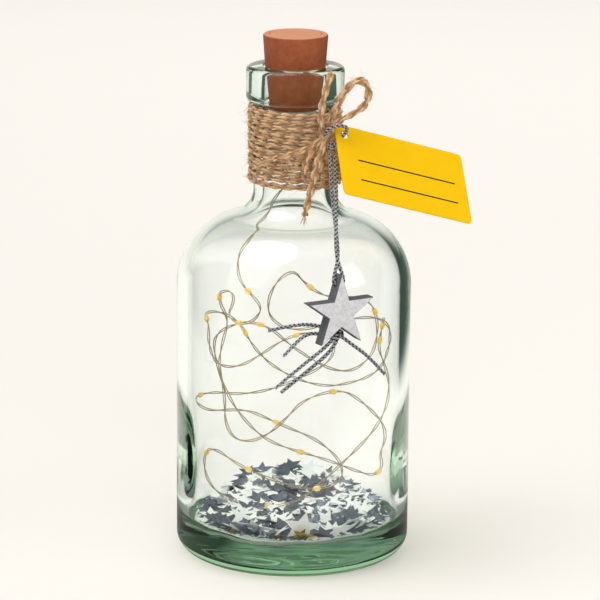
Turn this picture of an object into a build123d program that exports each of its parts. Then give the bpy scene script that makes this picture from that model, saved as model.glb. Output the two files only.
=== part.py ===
from build123d import *
import math
import os

# Bottle light: a corked glass bottle with a light string and foil confetti inside,
# a twine bow round its neck, a card tag and a hanging star.
# Millimetres, +Z up, origin at the centre of the bottle's foot, front towards -Y.

# Glass bottle
body_diameter = 78.0
wall = 3.5
base_thickness = 10.5
heel_radius = 6.5
floor_radius = 5.0            # rounding between the inner floor and the wall
cylinder_top = 92.0           # where the straight body ends and the shoulder starts
shoulder_radius = 24.0
neck_diameter = 27.2
neck_fillet = 9.0
throat_fillet = 12.0          # inner rounding from the shoulder into the bore
bottle_height = 165.0
lip_diameter = 32.4
lip_height = 11.5
lip_round = 1.5
lip_under_round = 1.4
rim_round = 1.0               # rounding at the mouth of the bore

# Stopper
stopper_proud = 10.6          # how far the stopper stands above the lip
stopper_top_diameter = 21.4
stopper_mouth_diameter = 20.0
stopper_foot_diameter = 16.2
stopper_depth = 14.0          # how far the stopper's sleeve reaches into the neck
stopper_edge = 0.8
seat_clearance = 0.1          # sleeve to bore at the mouth

# Battery tube inside the stopper
fit = 0.05                    # sliding fit between the stopper's own pieces
cell_diameter = 11.6
cell_height = 5.4
cell_count = 3
cell_clearance = 0.2
cell_edge = 0.3
tube_wall = 1.0
cap_diameter = 17.0
cap_thickness = 4.0
cap_clearance = 0.1
plug_height = 6.5
plug_clearance = 0.3
lug_width = 2.4
lug_height = 1.2
lug_reach = 0.55              # how far each lug stands into its groove
lug_drop = 3.6                # lug's top below the tube's mouth
switch_turn = 60.0            # degrees between off and on
seal_section = 1.3
seal_drop = 1.2               # seal's upper side below the tube's mouth
contact_sheet = 0.3
contact_disc_diameter = 7.0
contact_arm_width = 2.0
contact_arm_reach = 5.6
contact_bump = 0.6
contact_bump_diameter = 2.4
spring_height = 5.8
spring_wire = 0.6
spring_turns = 3
spring_foot_diameter = 9.2
spring_top_diameter = 5.6
board_thickness = 1.0
resistor_size = (3.2, 1.6, 0.6)
resistor_offset = 3.0
strip_width = 2.2
strip_tab_reach = 1.2
gland_flange = 2.0
gland_spigot = 2.2
gland_bore_diameter = 1.4

# Light string
wire_diameter = 1.0
light_diameter = 2.4
light_length = 4.0

# Neck twine and bow
twine_diameter = 1.8
twine_turns = 11.5
twine_gap = 0.45              # between neighbouring turns
twine_to_neck = 0.1
twine_to_lip = 0.3
knot_diameter = 4.4

# Card tag
tag_length = 48.6
tag_width = 28.0
tag_thickness = 0.5
tag_corner = 1.5
tag_hole_diameter = 3.0
tag_hole_inset = (3.2, 3.8)   # hole centre from the short edge and from the upper edge
tag_hole = Vector(15.9, -16.4, 145.0)
tag_long_way = Vector(0.868, 0.403, -0.291)
tag_short_way = Vector(0.118, -0.732, -0.671)

# Hanging star
cord_diameter = 1.4
star_radius = 12.75
star_waist = 4.8              # inner corner radius
star_thickness = 4.5
star_height = 92.0            # centre above the foot
star_azimuth = 19.5           # degrees round to the right from the front
star_turn = 30.0              # degrees that the star's own face looks to the right
star_to_glass = 1.9
star_hole_diameter = 2.0
star_hole_drop = 3.6
star_knot_diameter = 3.4
knot_gap = 0.3
hitch_place = Vector(12.0, -17.6, 141.4)
hitch_diameter = 2.4
hitch_half_span = 0.85        # the two cord strands from their middle, at the hitch
star_half_span = 2.1          # and at the star

# Foil confetti
foil = 0.15
foil_waist = 0.45             # inner over outer radius
small_foil_radius = 4.4
large_foil_radius = 7.4
gold_foil_radius = 3.2
foil_step = 0.55              # height from one layer to the next
second_turn = 17.0            # degrees that the second layer and the large stars are turned by
large_turn = 8.0
gold_count = 5
gold_first = 205.0            # degrees, the first gold star's place and the turn to the next
gold_turn = 32.5
heap_layers = 5
heap_step = 0.9
heap_front = 9.0              # the heap's front edge, then how far each layer steps back and turns
heap_back_step = 3.0
heap_turn = 11.0
floor_gap = 0.1
foil_margin = 0.4

# Light string's route, millimetres, from below the stopper to its last light
string_route = [
    (0, 0, 131), (-2, -1, 126), (-6.8, -2, 121), (-7.8, -4.2, 115.5), (-14, -11, 109),
    (-18, -14, 104), (-18, -17, 98), (-16, -20, 95), (-13, -21, 92), (-10, -24, 89),
    (-12, -26, 86), (-15, -25, 84), (-19, -23, 84), (-21, -20, 86), (-19, -19, 90),
    (-20, -17, 93), (-24, -15, 92), (-24, -13, 88), (-21, -12, 82), (-23, -14, 75),
    (-24, -20, 68), (-21, -24, 60), (-16, -28, 53), (-9, -32, 47), (-1, -33, 44),
    (6, -33, 42), (13, -31, 39), (20, -27, 35), (26, -20, 31), (29, -16, 33),
    (28, -16, 38), (30, -14, 42), (29, -16, 48), (25, -21, 54), (20, -27, 60),
    (16, -30, 63), (10, -32, 63), (3, -32, 60), (-2, -31, 54), (-7, -28, 48),
    (-13, -25, 44), (-19, -22, 44), (-22, -18, 49), (-22, -16, 57), (-24, -13, 65),
    (-26, -12, 72), (-25, -15, 78), (-20, -19, 82), (-14, -21, 84), (-7, -23, 82),
    (-2, -22, 77), (5, -22, 72), (12, -22, 68), (19, -21, 67), (25, -17, 71),
    (27, -14, 77), (27, -13, 83), (25, -15, 89), (19, -20, 92), (13, -26, 93),
    (8, -29, 95), (3, -30, 99), (0, -31, 103), (-5, -31, 100), (-8, -30, 94),
    (-8, -30, 88), (-3, -31, 84), (4, -32, 84), (11, -31, 86), (18, -29, 87),
    (25, -22, 86), (30, -14, 82), (32, -6, 75), (32, 2, 68), (31, 10, 61),
    (27, 18, 55), (21, 25, 51), (13, 30, 48), (4, 32, 49), (-4, 31, 53),
    (-10, 28, 58), (-15, 24, 65), (-18, 20, 72), (-22, 14, 77), (-27, 8, 80),
    (-30, 1, 81), (-28, -5, 79), (-28, -6, 74), (-28, 0, 69), (-27, 7, 63),
    (-24, 14, 59), (-18, 19, 58), (-11, 24, 61), (-3, 30, 65), (5, 32, 67),
    (12, 31, 66), (15, 29, 63), (13, 27, 58), (7, 27, 54), (-1, 28, 50),
    (-10, 27, 47), (-19, 23, 47), (-26, 18, 49), (-31, 9, 51), (-33, 1, 52),
    (-32, -6, 52), (-28, -12, 51), (-22, -15, 52), (-15, -18, 53), (-9, -20, 51),
    (-2, -21, 48), (6, -22, 45), (12, -23, 41), (16, -23, 36), (16, -22, 30),
    (11, -20, 27), (5, -19, 26), (-3, -19, 28), (-11, -19, 31), (-18, -17, 34),
    (-24, -12, 37), (-28, -5, 36), (-30, 0, 31), (-30, 3, 25), (-27, 3, 19),
    (-20, 2, 15), (-12, 2, 13), (-5, 1, 14), (1, -4, 17), (6, -10, 22),
    (11, -16, 29), (16, -19, 35), (22, -18, 41), (27, -14, 46), (31, -8, 52),
    (32, -5, 59), (30, -5, 66), (28, -6, 71), (29, -4, 76), (30, -3, 81),
]
lead_points = 5               # the first points of the route, which belong to the lead
light_runs = [
    7, 11, 16, 24, 28, 35, 48, 56, 60, 81, 85, 93, 103, 109, 115, 118, 121, 126, 137, 138,
]

# Bow routes, millimetres; every one starts in the knot
knot_place = Vector(10.2, -15.1, 144.2)
bow_loop_route = [
    (10.8, -14.6, 146.3), (11.2, -16.8, 150.0), (13.2, -18.2, 154.6), (15.6, -18.4, 159.0),
    (18.4, -18.0, 162.6), (21.4, -17.2, 163.4), (23.6, -16.2, 161.0), (23.9, -15.8, 157.2),
    (21.8, -16.4, 153.8), (17.6, -18.2, 151.8), (13.2, -19.4, 149.4), (10.9, -17.0, 145.4),
]
tail_up_route = [
    (9.0, -15.8, 145.2), (8.2, -17.8, 149.5), (8.6, -18.7, 154.5), (9.8, -18.4, 160.0), (11.6, -17.6, 165.5),
]
hanging_loop_route = [
    (9.0, -14.3, 143.4), (6.6, -16.4, 141.0), (4.2, -16.9, 137.0), (3.0, -17.1, 133.0),
    (4.0, -17.3, 130.0), (6.8, -16.9, 130.4), (8.4, -16.1, 134.0), (9.9, -15.4, 138.0), (11.4, -14.1, 141.6),
]
tail_down_route = [
    (9.8, -16.6, 142.6), (8.0, -18.8, 138.6), (6.6, -19.6, 133.0), (5.4, -19.7, 127.5),
    (4.2, -19.4, 123.0), (3.4, -19.2, 118.8),
]
# In the tag's own frame: along its long edge, up its short edge, out of its face
tie_loop_route = [
    (-4.4, 1.5, -4.4), (-2.3, 0.6, -4.9), (0, 0, -3.0), (0, 0, 2.8), (-2.2, 0, 4.6),
    (-5.4, -0.3, 3.8), (-6.9, -0.5, 0.8), (-5.9, -0.6, -2.0),
]
# Round the star's knot: to the right, out from the glass axis, height above the knot
star_tail_routes = [
    [(1.2, 43.9, -1.2), (5.0, 44.8, -4.2), (10.4, 44.4, -8.4), (16.4, 42.6, -15.0)],
    [(-1.4, 44.5, -0.6), (-6.4, 46.2, -4.2), (-12.6, 45.6, -8.6), (-21.2, 42.8, -16.6)],
    [(-0.6, 44.5, -2.0), (-5.0, 46.4, -6.0), (-11.0, 46.0, -10.6), (-19.4, 43.4, -18.0)],
    [(-0.6, 40.6, -2.2), (-4.6, 40.4, -0.6), (-8.8, 40.5, 0.2), (-13.2, 41.6, -1.6), (-18.4, 42.4, -6.4)],
    [(-0.9, 40.2, -0.4), (-4.4, 40.0, 1.9), (-9.0, 40.0, 3.0), (-15.0, 40.6, 3.2), (-22.6, 39.8, 1.9)],
]


def solid_disc(radius, low, high):
    return Pos(0, 0, low) * Cylinder(radius, high - low, align=(Align.CENTER, Align.CENTER, Align.MIN))


def ring(outer, inner, low, high):
    return solid_disc(outer, low, high) - solid_disc(inner, low, high)


def turned(points):
    # Solid of revolution about Z through (radius, height) corners
    return revolve(Plane.XZ * make_face(Polyline(*points, close=True)), Axis.Z)


def bend_radii(points):
    # Largest arc that each corner's two runs leave room for
    radii = []
    for before, corner, after in zip(points, points[1:], points[2:]):
        come = Vector(corner) - Vector(before)
        go = Vector(after) - Vector(corner)
        half_turn = math.radians(come.get_angle(go)) / 2
        radii.append(0.45 * min(come.length, go.length) / math.tan(half_turn))
    return radii


def swept(path, diameter):
    section = Plane(origin=path @ 0, z_dir=path % 0) * Circle(diameter / 2)
    return sweep(section, path=path)


def cord_tube(name, points, diameter):
    # Round tube along straight runs and tangent arcs
    radii = bend_radii(points)
    path = FilletPolyline(*points, radius=radii)
    tube = swept(path, diameter)
    share = tube.volume / (math.pi * diameter**2 / 4 * path.length)
    print(f"{name}: length {path.length:.1f}, volume over section times length {share:.4f}, radii",
          " ".join(f"{radius:.1f}" for radius in radii))
    return tube


def biarc(start, start_way, end, end_way):
    # Two tangent arcs between two points with given directions
    chord = end - start
    ways = start_way + end_way
    spread = 2 * (1 - start_way.dot(end_way))
    across = chord.dot(ways)
    reach = (math.sqrt(across**2 + spread * chord.dot(chord)) - across) / spread
    joint = (start + end + (start_way - end_way) * reach) * 0.5
    joint_way = (end - end_way * reach) - (start + start_way * reach)
    return [
        TangentArc(start, joint, tangent=start_way),
        TangentArc(joint, end, tangent=joint_way.normalized()),
    ]


def wound_tube(name, diameter, low_radius, high_radius, low, high, turns):
    # One unbroken tube wound about Z, with a straight end of one diameter at each side
    steps = round(4 * turns)
    rise = (high - low) / steps

    def place(step):
        angle = math.radians(90 * step)
        radius = low_radius + (high_radius - low_radius) * step / steps
        return Vector(radius * math.cos(angle), radius * math.sin(angle), low + rise * step)

    def way(step):
        return (place(step + 0.01) - place(step - 0.01)).normalized()

    edges = [Line(place(0) - way(0) * diameter, place(0))]
    for step in range(steps):
        edges += biarc(place(step), way(step), place(step + 1), way(step + 1))
    edges.append(Line(place(steps), place(steps) + way(steps) * diameter))
    samples = [place(step / 3) for step in range(3 * steps + 1)]
    nearest = min((b - a).length for i, a in enumerate(samples) for b in samples[i + 6:])
    print(f"{name}: {turns} turns, least gap to itself {nearest - diameter:.2f}")
    return swept(Wire(edges), diameter)


def star_face(radius, waist):
    corners = []
    for step in range(10):
        angle = math.radians(90 + 36 * step)
        reach = waist if step % 2 else radius
        corners.append((reach * math.cos(angle), reach * math.sin(angle)))
    return make_face(Polyline(*corners, close=True))


def sector_cut(outer, low, high, start, sweep_angle):
    # Wedge of a round groove, from a start angle, about Z
    outline = Plane.XZ * make_face(Polyline((0, low), (outer, low), (outer, high), (0, high), close=True))
    return Rot(0, 0, start) * revolve(outline, Axis.Z, revolution_arc=sweep_angle)


parts = {}

# Glass bottle
body_radius = body_diameter / 2
inner_radius = body_radius - wall
neck_radius = neck_diameter / 2
lip_radius = lip_diameter / 2
lip_low = bottle_height - lip_height
shoulder_centre = body_radius - shoulder_radius
bore_radius = stopper_mouth_diameter / 2 + seat_clearance


def shoulder_lines(start_radius, arc, tube_radius, blend):
    # Shoulder arc that runs into a tube's side through a blend arc, as (radius, height)
    reach = tube_radius + blend - shoulder_centre
    height = cylinder_top + math.sqrt((arc + blend) ** 2 - reach**2)
    share = arc / (arc + blend)
    meet = (shoulder_centre + reach * share, cylinder_top + (height - cylinder_top) * share)
    first = TangentArc((start_radius, cylinder_top), meet, tangent=(0, 1))
    second = TangentArc((tube_radius, height), meet, tangent=(0, -1))
    return [first, second], height


def rounded_corner(face, corner, radius):
    vertex = face.vertices().sort_by_distance(Vector(*corner))[0]
    return fillet(vertex, radius)


outer_shoulder, neck_start = shoulder_lines(body_radius, shoulder_radius, neck_radius, neck_fillet)
outer_edges = [
    Polyline((0, 0), (body_radius, 0), (body_radius, cylinder_top)),
    *outer_shoulder,
    Polyline(
        (neck_radius, neck_start), (neck_radius, lip_low), (lip_radius, lip_low),
        (lip_radius, bottle_height), (0, bottle_height), (0, 0),
    ),
]
outer_face = make_face(outer_edges)
for corner, radius in (
    ((body_radius, 0), heel_radius),
    ((lip_radius, lip_low), lip_under_round),
    ((lip_radius, bottle_height), lip_round),
):
    outer_face = rounded_corner(outer_face, corner, radius)

inner_shoulder, throat_start = shoulder_lines(
    inner_radius, shoulder_radius - wall, bore_radius, throat_fillet
)
inner_edges = [
    Polyline((0, base_thickness), (inner_radius, base_thickness), (inner_radius, cylinder_top)),
    *inner_shoulder,
    Polyline(
        (bore_radius, throat_start), (bore_radius, bottle_height), (0, bottle_height), (0, base_thickness)
    ),
]
inner_face = rounded_corner(make_face(inner_edges), (inner_radius, base_thickness), floor_radius)
bottle = revolve(Plane.XZ * outer_face, Axis.Z) - revolve(Plane.XZ * inner_face, Axis.Z)
mouth_edge = bottle.edges().filter_by(GeomType.CIRCLE).sort_by_distance((bore_radius, 0, bottle_height))[0]
bottle = fillet(mouth_edge, rim_round)
parts["bottle"] = bottle

# Stopper levels, from the top down
stopper_top = bottle_height + stopper_proud
stopper_foot = bottle_height - stopper_depth
cap_radius = cap_diameter / 2
pocket_floor = stopper_top - cap_thickness - fit
tube_inner = cell_diameter / 2 + cell_clearance
tube_outer = tube_inner + tube_wall
tube_top = pocket_floor
plug_low = tube_top - plug_height
bump_low = plug_low - contact_sheet - contact_bump
cells_top = bump_low - fit
cells_low = cells_top - cell_count * cell_height
board_top = cells_low - spring_height
board_low = board_top - board_thickness
spigot_low = board_low - gland_spigot
gland_low = spigot_low - gland_flange
tube_low = spigot_low

# Rubber sleeve, the stopper that shows
sleeve = turned([
    (0, stopper_foot),
    (stopper_foot_diameter / 2, stopper_foot),
    (stopper_mouth_diameter / 2, bottle_height),
    (stopper_top_diameter / 2, stopper_top),
    (0, stopper_top),
])
sleeve = fillet(sleeve.edges().group_by(Axis.Z)[-1], stopper_edge)
sleeve = sleeve - solid_disc(cap_radius + cap_clearance, pocket_floor, stopper_top)
sleeve = sleeve - solid_disc(tube_outer + fit, stopper_foot, pocket_floor)
parts["stopper_sleeve"] = sleeve

# Battery tube with two bayonet grooves and a slot for the contact strip
plug_radius = tube_inner - plug_clearance
lug_outer = tube_inner + lug_reach
groove_outer = lug_outer + fit
lug_top = tube_top - lug_drop
lug_low = lug_top - lug_height
lug_half = math.degrees(math.asin(lug_width / 2 / plug_radius))
groove_slack = 1.5            # degrees at each end of the turn
groove_start = -lug_half - groove_slack
entry_angle = 2 * (lug_half + groove_slack)
groove_angle = entry_angle + switch_turn
strip_slot = tube_inner + contact_sheet + 4 * fit
tab_top = plug_low - contact_sheet - fit
battery_tube = ring(tube_outer, tube_inner, tube_low, tube_top)
for side in (0, 180):
    battery_tube = battery_tube - sector_cut(
        groove_outer, lug_low - fit, lug_top + fit, side + groove_start, groove_angle)
    entry = side + groove_start
    battery_tube = battery_tube - sector_cut(groove_outer, lug_low, tube_top, entry, entry_angle)
strip_angle = 90 + switch_turn
strip_length = tab_top - board_top
slot_block = Pos(0, 0, board_low) * Box(
    strip_slot, strip_width + 4 * fit, tab_top + fit - board_low, align=(Align.MIN, Align.CENTER, Align.MIN))
battery_tube = battery_tube - Rot(0, 0, strip_angle) * slot_block
parts["battery_tube"] = battery_tube

# Twist cap, set flush in the sleeve, with a plug, two lugs and a seal groove
seal_high = tube_top - seal_drop
seal_low = seal_high - seal_section
seal_groove = plug_radius - seal_section + plug_clearance - 2 * fit
cap = solid_disc(cap_radius, tube_top + fit, stopper_top)
cap = fillet(cap.edges().group_by(Axis.Z)[-1], stopper_edge / 2)
cap = cap + solid_disc(plug_radius, plug_low, tube_top + fit)
cap = cap - ring(plug_radius, seal_groove, seal_low - fit, seal_high + fit)
for side in (0, 180):
    lug = Pos(0, 0, lug_low) * Box(
        lug_outer, lug_width, lug_height, align=(Align.MIN, Align.CENTER, Align.MIN))
    lug = lug & solid_disc(lug_outer, lug_low, lug_top)
    cap = cap + Rot(0, 0, side) * lug
parts["switch_cap"] = cap
seal_centre = seal_groove + fit + seal_section / 2
parts["cap_seal"] = Pos(0, 0, (seal_low + seal_high) / 2) * Torus(seal_centre, seal_section / 2)

# Contact on the plug's foot: a disc with a bump on the top cell and a wiper arm
contact = solid_disc(contact_disc_diameter / 2, plug_low - contact_sheet, plug_low)
contact = contact + solid_disc(contact_bump_diameter / 2, bump_low, plug_low)
arm = Pos(0, 0, plug_low - contact_sheet) * Box(
    contact_arm_reach, contact_arm_width, contact_sheet, align=(Align.MIN, Align.CENTER, Align.MIN))
parts["cap_contact"] = contact + Rot(0, 0, 90) * arm

# Button cells
cell_names = ["cell_bottom", "cell_middle", "cell_top"]
for index, name in enumerate(cell_names):
    low = cells_low + index * cell_height
    cell = solid_disc(cell_diameter / 2, low, low + cell_height)
    parts[name] = chamfer(cell.edges().filter_by(GeomType.CIRCLE), cell_edge)

# Contact strip from the board to the wiper
strip_inner = tube_inner + fit
strip = Pos(strip_inner, 0, board_top) * Box(
    contact_sheet, strip_width, strip_length, align=(Align.MIN, Align.CENTER, Align.MIN))
tab = Pos(strip_inner + contact_sheet, 0, tab_top) * Box(
    strip_tab_reach + contact_sheet, strip_width, contact_sheet, align=(Align.MAX, Align.CENTER, Align.MAX))
parts["contact_strip"] = Rot(0, 0, strip_angle) * (strip + tab)

# Cone spring under the cells, driver board, its resistor and the wire gland
spring_low = board_top + spring_wire / 2 + fit
spring_high = cells_low - spring_wire / 2 - fit
parts["contact_spring"] = wound_tube(
    "contact_spring", spring_wire, spring_foot_diameter / 2, spring_top_diameter / 2,
    spring_low, spring_high, spring_turns)
board = solid_disc(tube_inner - fit, board_low, board_top)
board = board - solid_disc(gland_bore_diameter / 2, board_low, board_top)
parts["driver_board"] = board
resistor_pocket = gland_spigot - resistor_size[2] - 4 * fit
gland = solid_disc(tube_outer, gland_low, spigot_low) + solid_disc(tube_inner - fit, spigot_low, board_low)
gland = fillet(gland.edges().group_by(Axis.Z)[0], gland_flange / 3)
gland = gland - solid_disc(gland_bore_diameter / 2, gland_low, board_low)
pocket = Pos(resistor_offset, 0, spigot_low + resistor_pocket) * Box(
    resistor_size[0] + 4 * fit, resistor_size[1] + 4 * fit, gland_spigot,
    align=(Align.CENTER, Align.CENTER, Align.MIN))
parts["wire_gland"] = gland - pocket
parts["resistor"] = Pos(resistor_offset, 0, board_low) * Box(
    *resistor_size, align=(Align.CENTER, Align.CENTER, Align.MAX))

# Lead through the gland and the neck, then the lit part of the string
string_points = [(0, 0, board_low)] + string_route
lead_end = (Vector(string_route[lead_points - 1]) + Vector(string_route[lead_points])) * 0.5
lead_points_mm = string_points[:lead_points + 1] + [tuple(lead_end)]
light_points_mm = [tuple(lead_end)] + string_route[lead_points:]
parts["lead_wire"] = cord_tube("lead_wire", lead_points_mm, wire_diameter)
parts["light_wire"] = cord_tube("light_wire", light_points_mm, wire_diameter)

# Resin drops with a light in each, at the middle of a straight run
drop_profile = make_face([
    Line((-light_length / 2, 0), (light_length / 2, 0)),
    EllipticalCenterArc((0, 0), light_length / 2, light_diameter / 2, arc_size=180),
])
drop = revolve(drop_profile, Axis.X)
drops = []
for run in light_runs:
    start = Vector(string_route[run])
    end = Vector(string_route[run + 1])
    frame = Plane(origin=(start + end) * 0.5, z_dir=end - start)
    drops.append(frame.location * Rot(0, 90, 0) * drop)
parts["light_drops"] = Compound(children=drops)

# Twine wound round the neck
twine_radius = neck_radius + twine_to_neck + twine_diameter / 2
twine_rise = twine_turns * (twine_diameter + twine_gap)
twine_high = lip_low - twine_to_lip - twine_diameter / 2
parts["twine_winding"] = wound_tube(
    "twine_winding", twine_diameter, twine_radius, twine_radius, twine_high - twine_rise, twine_high,
    twine_turns
)

# Bow: knot, standing loop, hanging loop and the two tails
parts["bow_knot"] = Pos(knot_place) * Sphere(knot_diameter / 2)
parts["bow_loop"] = cord_tube("bow_loop", bow_loop_route, twine_diameter)
parts["hanging_loop"] = cord_tube("hanging_loop", hanging_loop_route, twine_diameter)
parts["tail_up"] = cord_tube("tail_up", tail_up_route, twine_diameter)
parts["tail_down"] = cord_tube("tail_down", tail_down_route, twine_diameter)

# Card tag and the cord loop that it turns on
tag_plane = Plane(origin=tag_hole, x_dir=tag_long_way, z_dir=tag_short_way.cross(tag_long_way))
card = RectangleRounded(tag_length, tag_width, tag_corner)
card = Pos(tag_length / 2 - tag_hole_inset[0], tag_hole_inset[1] - tag_width / 2) * card
card = card - Circle(tag_hole_diameter / 2)
parts["tag"] = extrude(tag_plane * card, amount=tag_thickness / 2, both=True)
tie_points = [tuple(tag_plane.from_local_coords(Vector(*point))) for point in tie_loop_route]
parts["tie_loop"] = cord_tube("tie_loop", tie_points, cord_diameter)



def facing(degrees):
    # Directions out from the bottle and to the right, for a turn from the front
    turn = math.radians(degrees)
    return Vector(math.sin(turn), -math.cos(turn), 0), Vector(math.cos(turn), math.sin(turn), 0)


# Hanging star, out from the bottle's axis and turned a little further to the right
out_way, side_way = facing(star_azimuth)
face_way, face_side = facing(star_turn)
star_out = body_radius + star_to_glass + star_thickness / 2
star_plane = Plane(origin=out_way * star_out + Vector(0, 0, star_height), x_dir=face_side, z_dir=face_way)
star = extrude(star_plane * star_face(star_radius, star_waist), amount=star_thickness / 2, both=True)
hole_up = star_radius - star_hole_drop
star_hole = Pos(0, hole_up) * Rot(0, 90, 0) * Cylinder(star_hole_diameter / 2, star_radius)
star = star - star_plane.location * star_hole
parts["star"] = star

# Pendant cord: down one side, through the star's hole and up again
hole_centre = star_plane.from_local_coords(Vector(0, hole_up, 0))
fall = (hole_centre - hitch_place).normalized()
cord_start = hitch_place + fall * (hitch_diameter / 2 + cord_diameter / 2 + knot_gap)
cord_points = [
    cord_start - side_way * hitch_half_span,
    hole_centre - face_side * star_half_span,
    hole_centre + face_side * star_half_span,
    cord_start + side_way * hitch_half_span,
]
parts["pendant_cord"] = cord_tube("pendant_cord", [tuple(point) for point in cord_points], cord_diameter)
parts["cord_hitch"] = Pos(hitch_place) * Sphere(hitch_diameter / 2)

# Knot under the star and its five loose ends
tip_side = star_radius * math.sin(math.radians(36))
tip_drop = star_radius * math.cos(math.radians(36)) - star_waist
notch_slope = math.atan2(tip_drop, tip_side)
knot_drop = star_waist + (knot_gap + star_knot_diameter / 2) / math.cos(notch_slope)
star_knot = star_plane.from_local_coords(Vector(0, -knot_drop, 0))
parts["star_knot"] = Pos(star_knot) * Sphere(star_knot_diameter / 2)
tails = []
for index, route in enumerate(star_tail_routes):
    points = [
        tuple(side_way * side + out_way * out + Vector(0, 0, star_knot.Z + up))
        for side, out, up in route
    ]
    tails.append(cord_tube(f"star_tail_{index + 1}", points, cord_diameter))
parts["star_tails"] = Compound(children=tails)

# Foil stars: two layers on the floor, a layer of large ones and a heap at the back
foil_room = inner_radius - floor_radius - foil_margin


def foil_star(radius, ring_radius, angle, height):
    flat = extrude(star_face(radius, radius * foil_waist), amount=foil)
    return Rot(0, 0, angle) * Pos(ring_radius, 0, height) * Rot(0, 0, 3 * angle) * flat


def foil_layer(radius, height, turn, keep=None):
    # Rings of stars that stay clear of each other, from the wall inwards
    layer = []
    ring_radius = foil_room - radius
    while ring_radius > radius + foil_margin:
        count = int(math.pi / math.asin((radius + foil_margin) / ring_radius))
        for index in range(count):
            angle = turn + 360 * index / count
            depth = ring_radius * math.sin(math.radians(angle))
            if keep is None or depth > keep:
                layer.append(foil_star(radius, ring_radius, angle, height))
        ring_radius -= 2 * radius + foil_margin
    return layer


level = base_thickness + floor_gap
small_stars = foil_layer(small_foil_radius, level, 0)
small_stars += foil_layer(small_foil_radius, level + foil_step, second_turn)
large_level = level + 2 * foil_step
large_stars = foil_layer(large_foil_radius, large_level, large_turn)
gold_ring = foil_room / 2
gold_stars = [
    foil_star(gold_foil_radius, gold_ring, gold_first + gold_turn * index, large_level + foil_step)
    for index in range(gold_count)
]
for index in range(heap_layers):
    heap_level = large_level + foil_step + index * heap_step
    heap_edge = heap_front + heap_back_step * index
    small_stars += foil_layer(small_foil_radius, heap_level, heap_turn * index, heap_edge)
parts["confetti_small"] = Compound(children=small_stars)
parts["confetti_large"] = Compound(children=large_stars)
parts["confetti_gold"] = Compound(children=gold_stars)

os.makedirs("parts", exist_ok=True)
for name, shape in parts.items():
    shape.label = name
    export_step(shape, f"parts/{name}.step")
print(len(parts), "nodes")
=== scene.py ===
import math
import random

import bmesh
import bpy
from mathutils import Matrix, Vector, noise


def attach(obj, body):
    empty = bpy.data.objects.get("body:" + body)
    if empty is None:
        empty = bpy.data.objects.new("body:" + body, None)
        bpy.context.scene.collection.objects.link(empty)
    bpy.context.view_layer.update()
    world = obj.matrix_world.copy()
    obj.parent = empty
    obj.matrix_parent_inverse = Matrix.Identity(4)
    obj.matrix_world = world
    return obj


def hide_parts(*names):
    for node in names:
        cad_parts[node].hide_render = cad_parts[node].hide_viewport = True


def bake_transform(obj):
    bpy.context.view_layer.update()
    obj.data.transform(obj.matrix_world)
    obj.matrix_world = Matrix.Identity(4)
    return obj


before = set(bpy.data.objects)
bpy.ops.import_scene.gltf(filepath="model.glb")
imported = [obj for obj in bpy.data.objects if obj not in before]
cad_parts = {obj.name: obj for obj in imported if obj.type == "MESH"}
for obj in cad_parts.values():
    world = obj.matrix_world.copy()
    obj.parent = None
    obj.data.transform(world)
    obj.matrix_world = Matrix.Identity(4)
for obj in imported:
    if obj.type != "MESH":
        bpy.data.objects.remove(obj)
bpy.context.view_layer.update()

mm = 0.001
scene = bpy.context.scene
print("frame loaded,", len(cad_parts), "nodes")


# Camera, set to the photograph's angle
cameraSetup = {"place": (0, -1.115, 0.360), "pitch": 13.82, "yaw": -0.108, "roll": 0.45, "lens": 206.6,
               "sensor": 36, "far": 50}
cameraData = bpy.data.cameras.new("camera")
cameraData.lens = cameraSetup["lens"]
cameraData.sensor_width = cameraSetup["sensor"]
cameraData.clip_end = cameraSetup["far"]
camera = bpy.data.objects.new("camera", cameraData)
scene.collection.objects.link(camera)
camera.matrix_world = (
    Matrix.Translation(cameraSetup["place"])
    @ Matrix.Rotation(math.radians(cameraSetup["yaw"]), 4, "Z")
    @ Matrix.Rotation(math.radians(90 - cameraSetup["pitch"]), 4, "X")
    @ Matrix.Rotation(math.radians(cameraSetup["roll"]), 4, "Z")
)
scene.camera = camera
scene.view_settings.view_transform = "Standard"
# Light is mirrored many times inside the thick glass
scene.cycles.max_bounces = 24
scene.cycles.glossy_bounces = 16
scene.cycles.transmission_bounces = 20
print("camera set")


# Shader group and nodes that several finishes share
mottleLook = {"finer": 7.3, "low": 0.3, "high": 0.7}


def newGroup(name, inputs, outputs):
    group = bpy.data.node_groups.new(name, "ShaderNodeTree")
    for label, kind, value in inputs:
        socket = group.interface.new_socket(label, in_out="INPUT", socket_type=kind)
        socket.default_value = value
    for label, kind in outputs:
        group.interface.new_socket(label, in_out="OUTPUT", socket_type=kind)
    group.nodes.new("NodeGroupInput")
    group.nodes.new("NodeGroupOutput")
    return group


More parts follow.
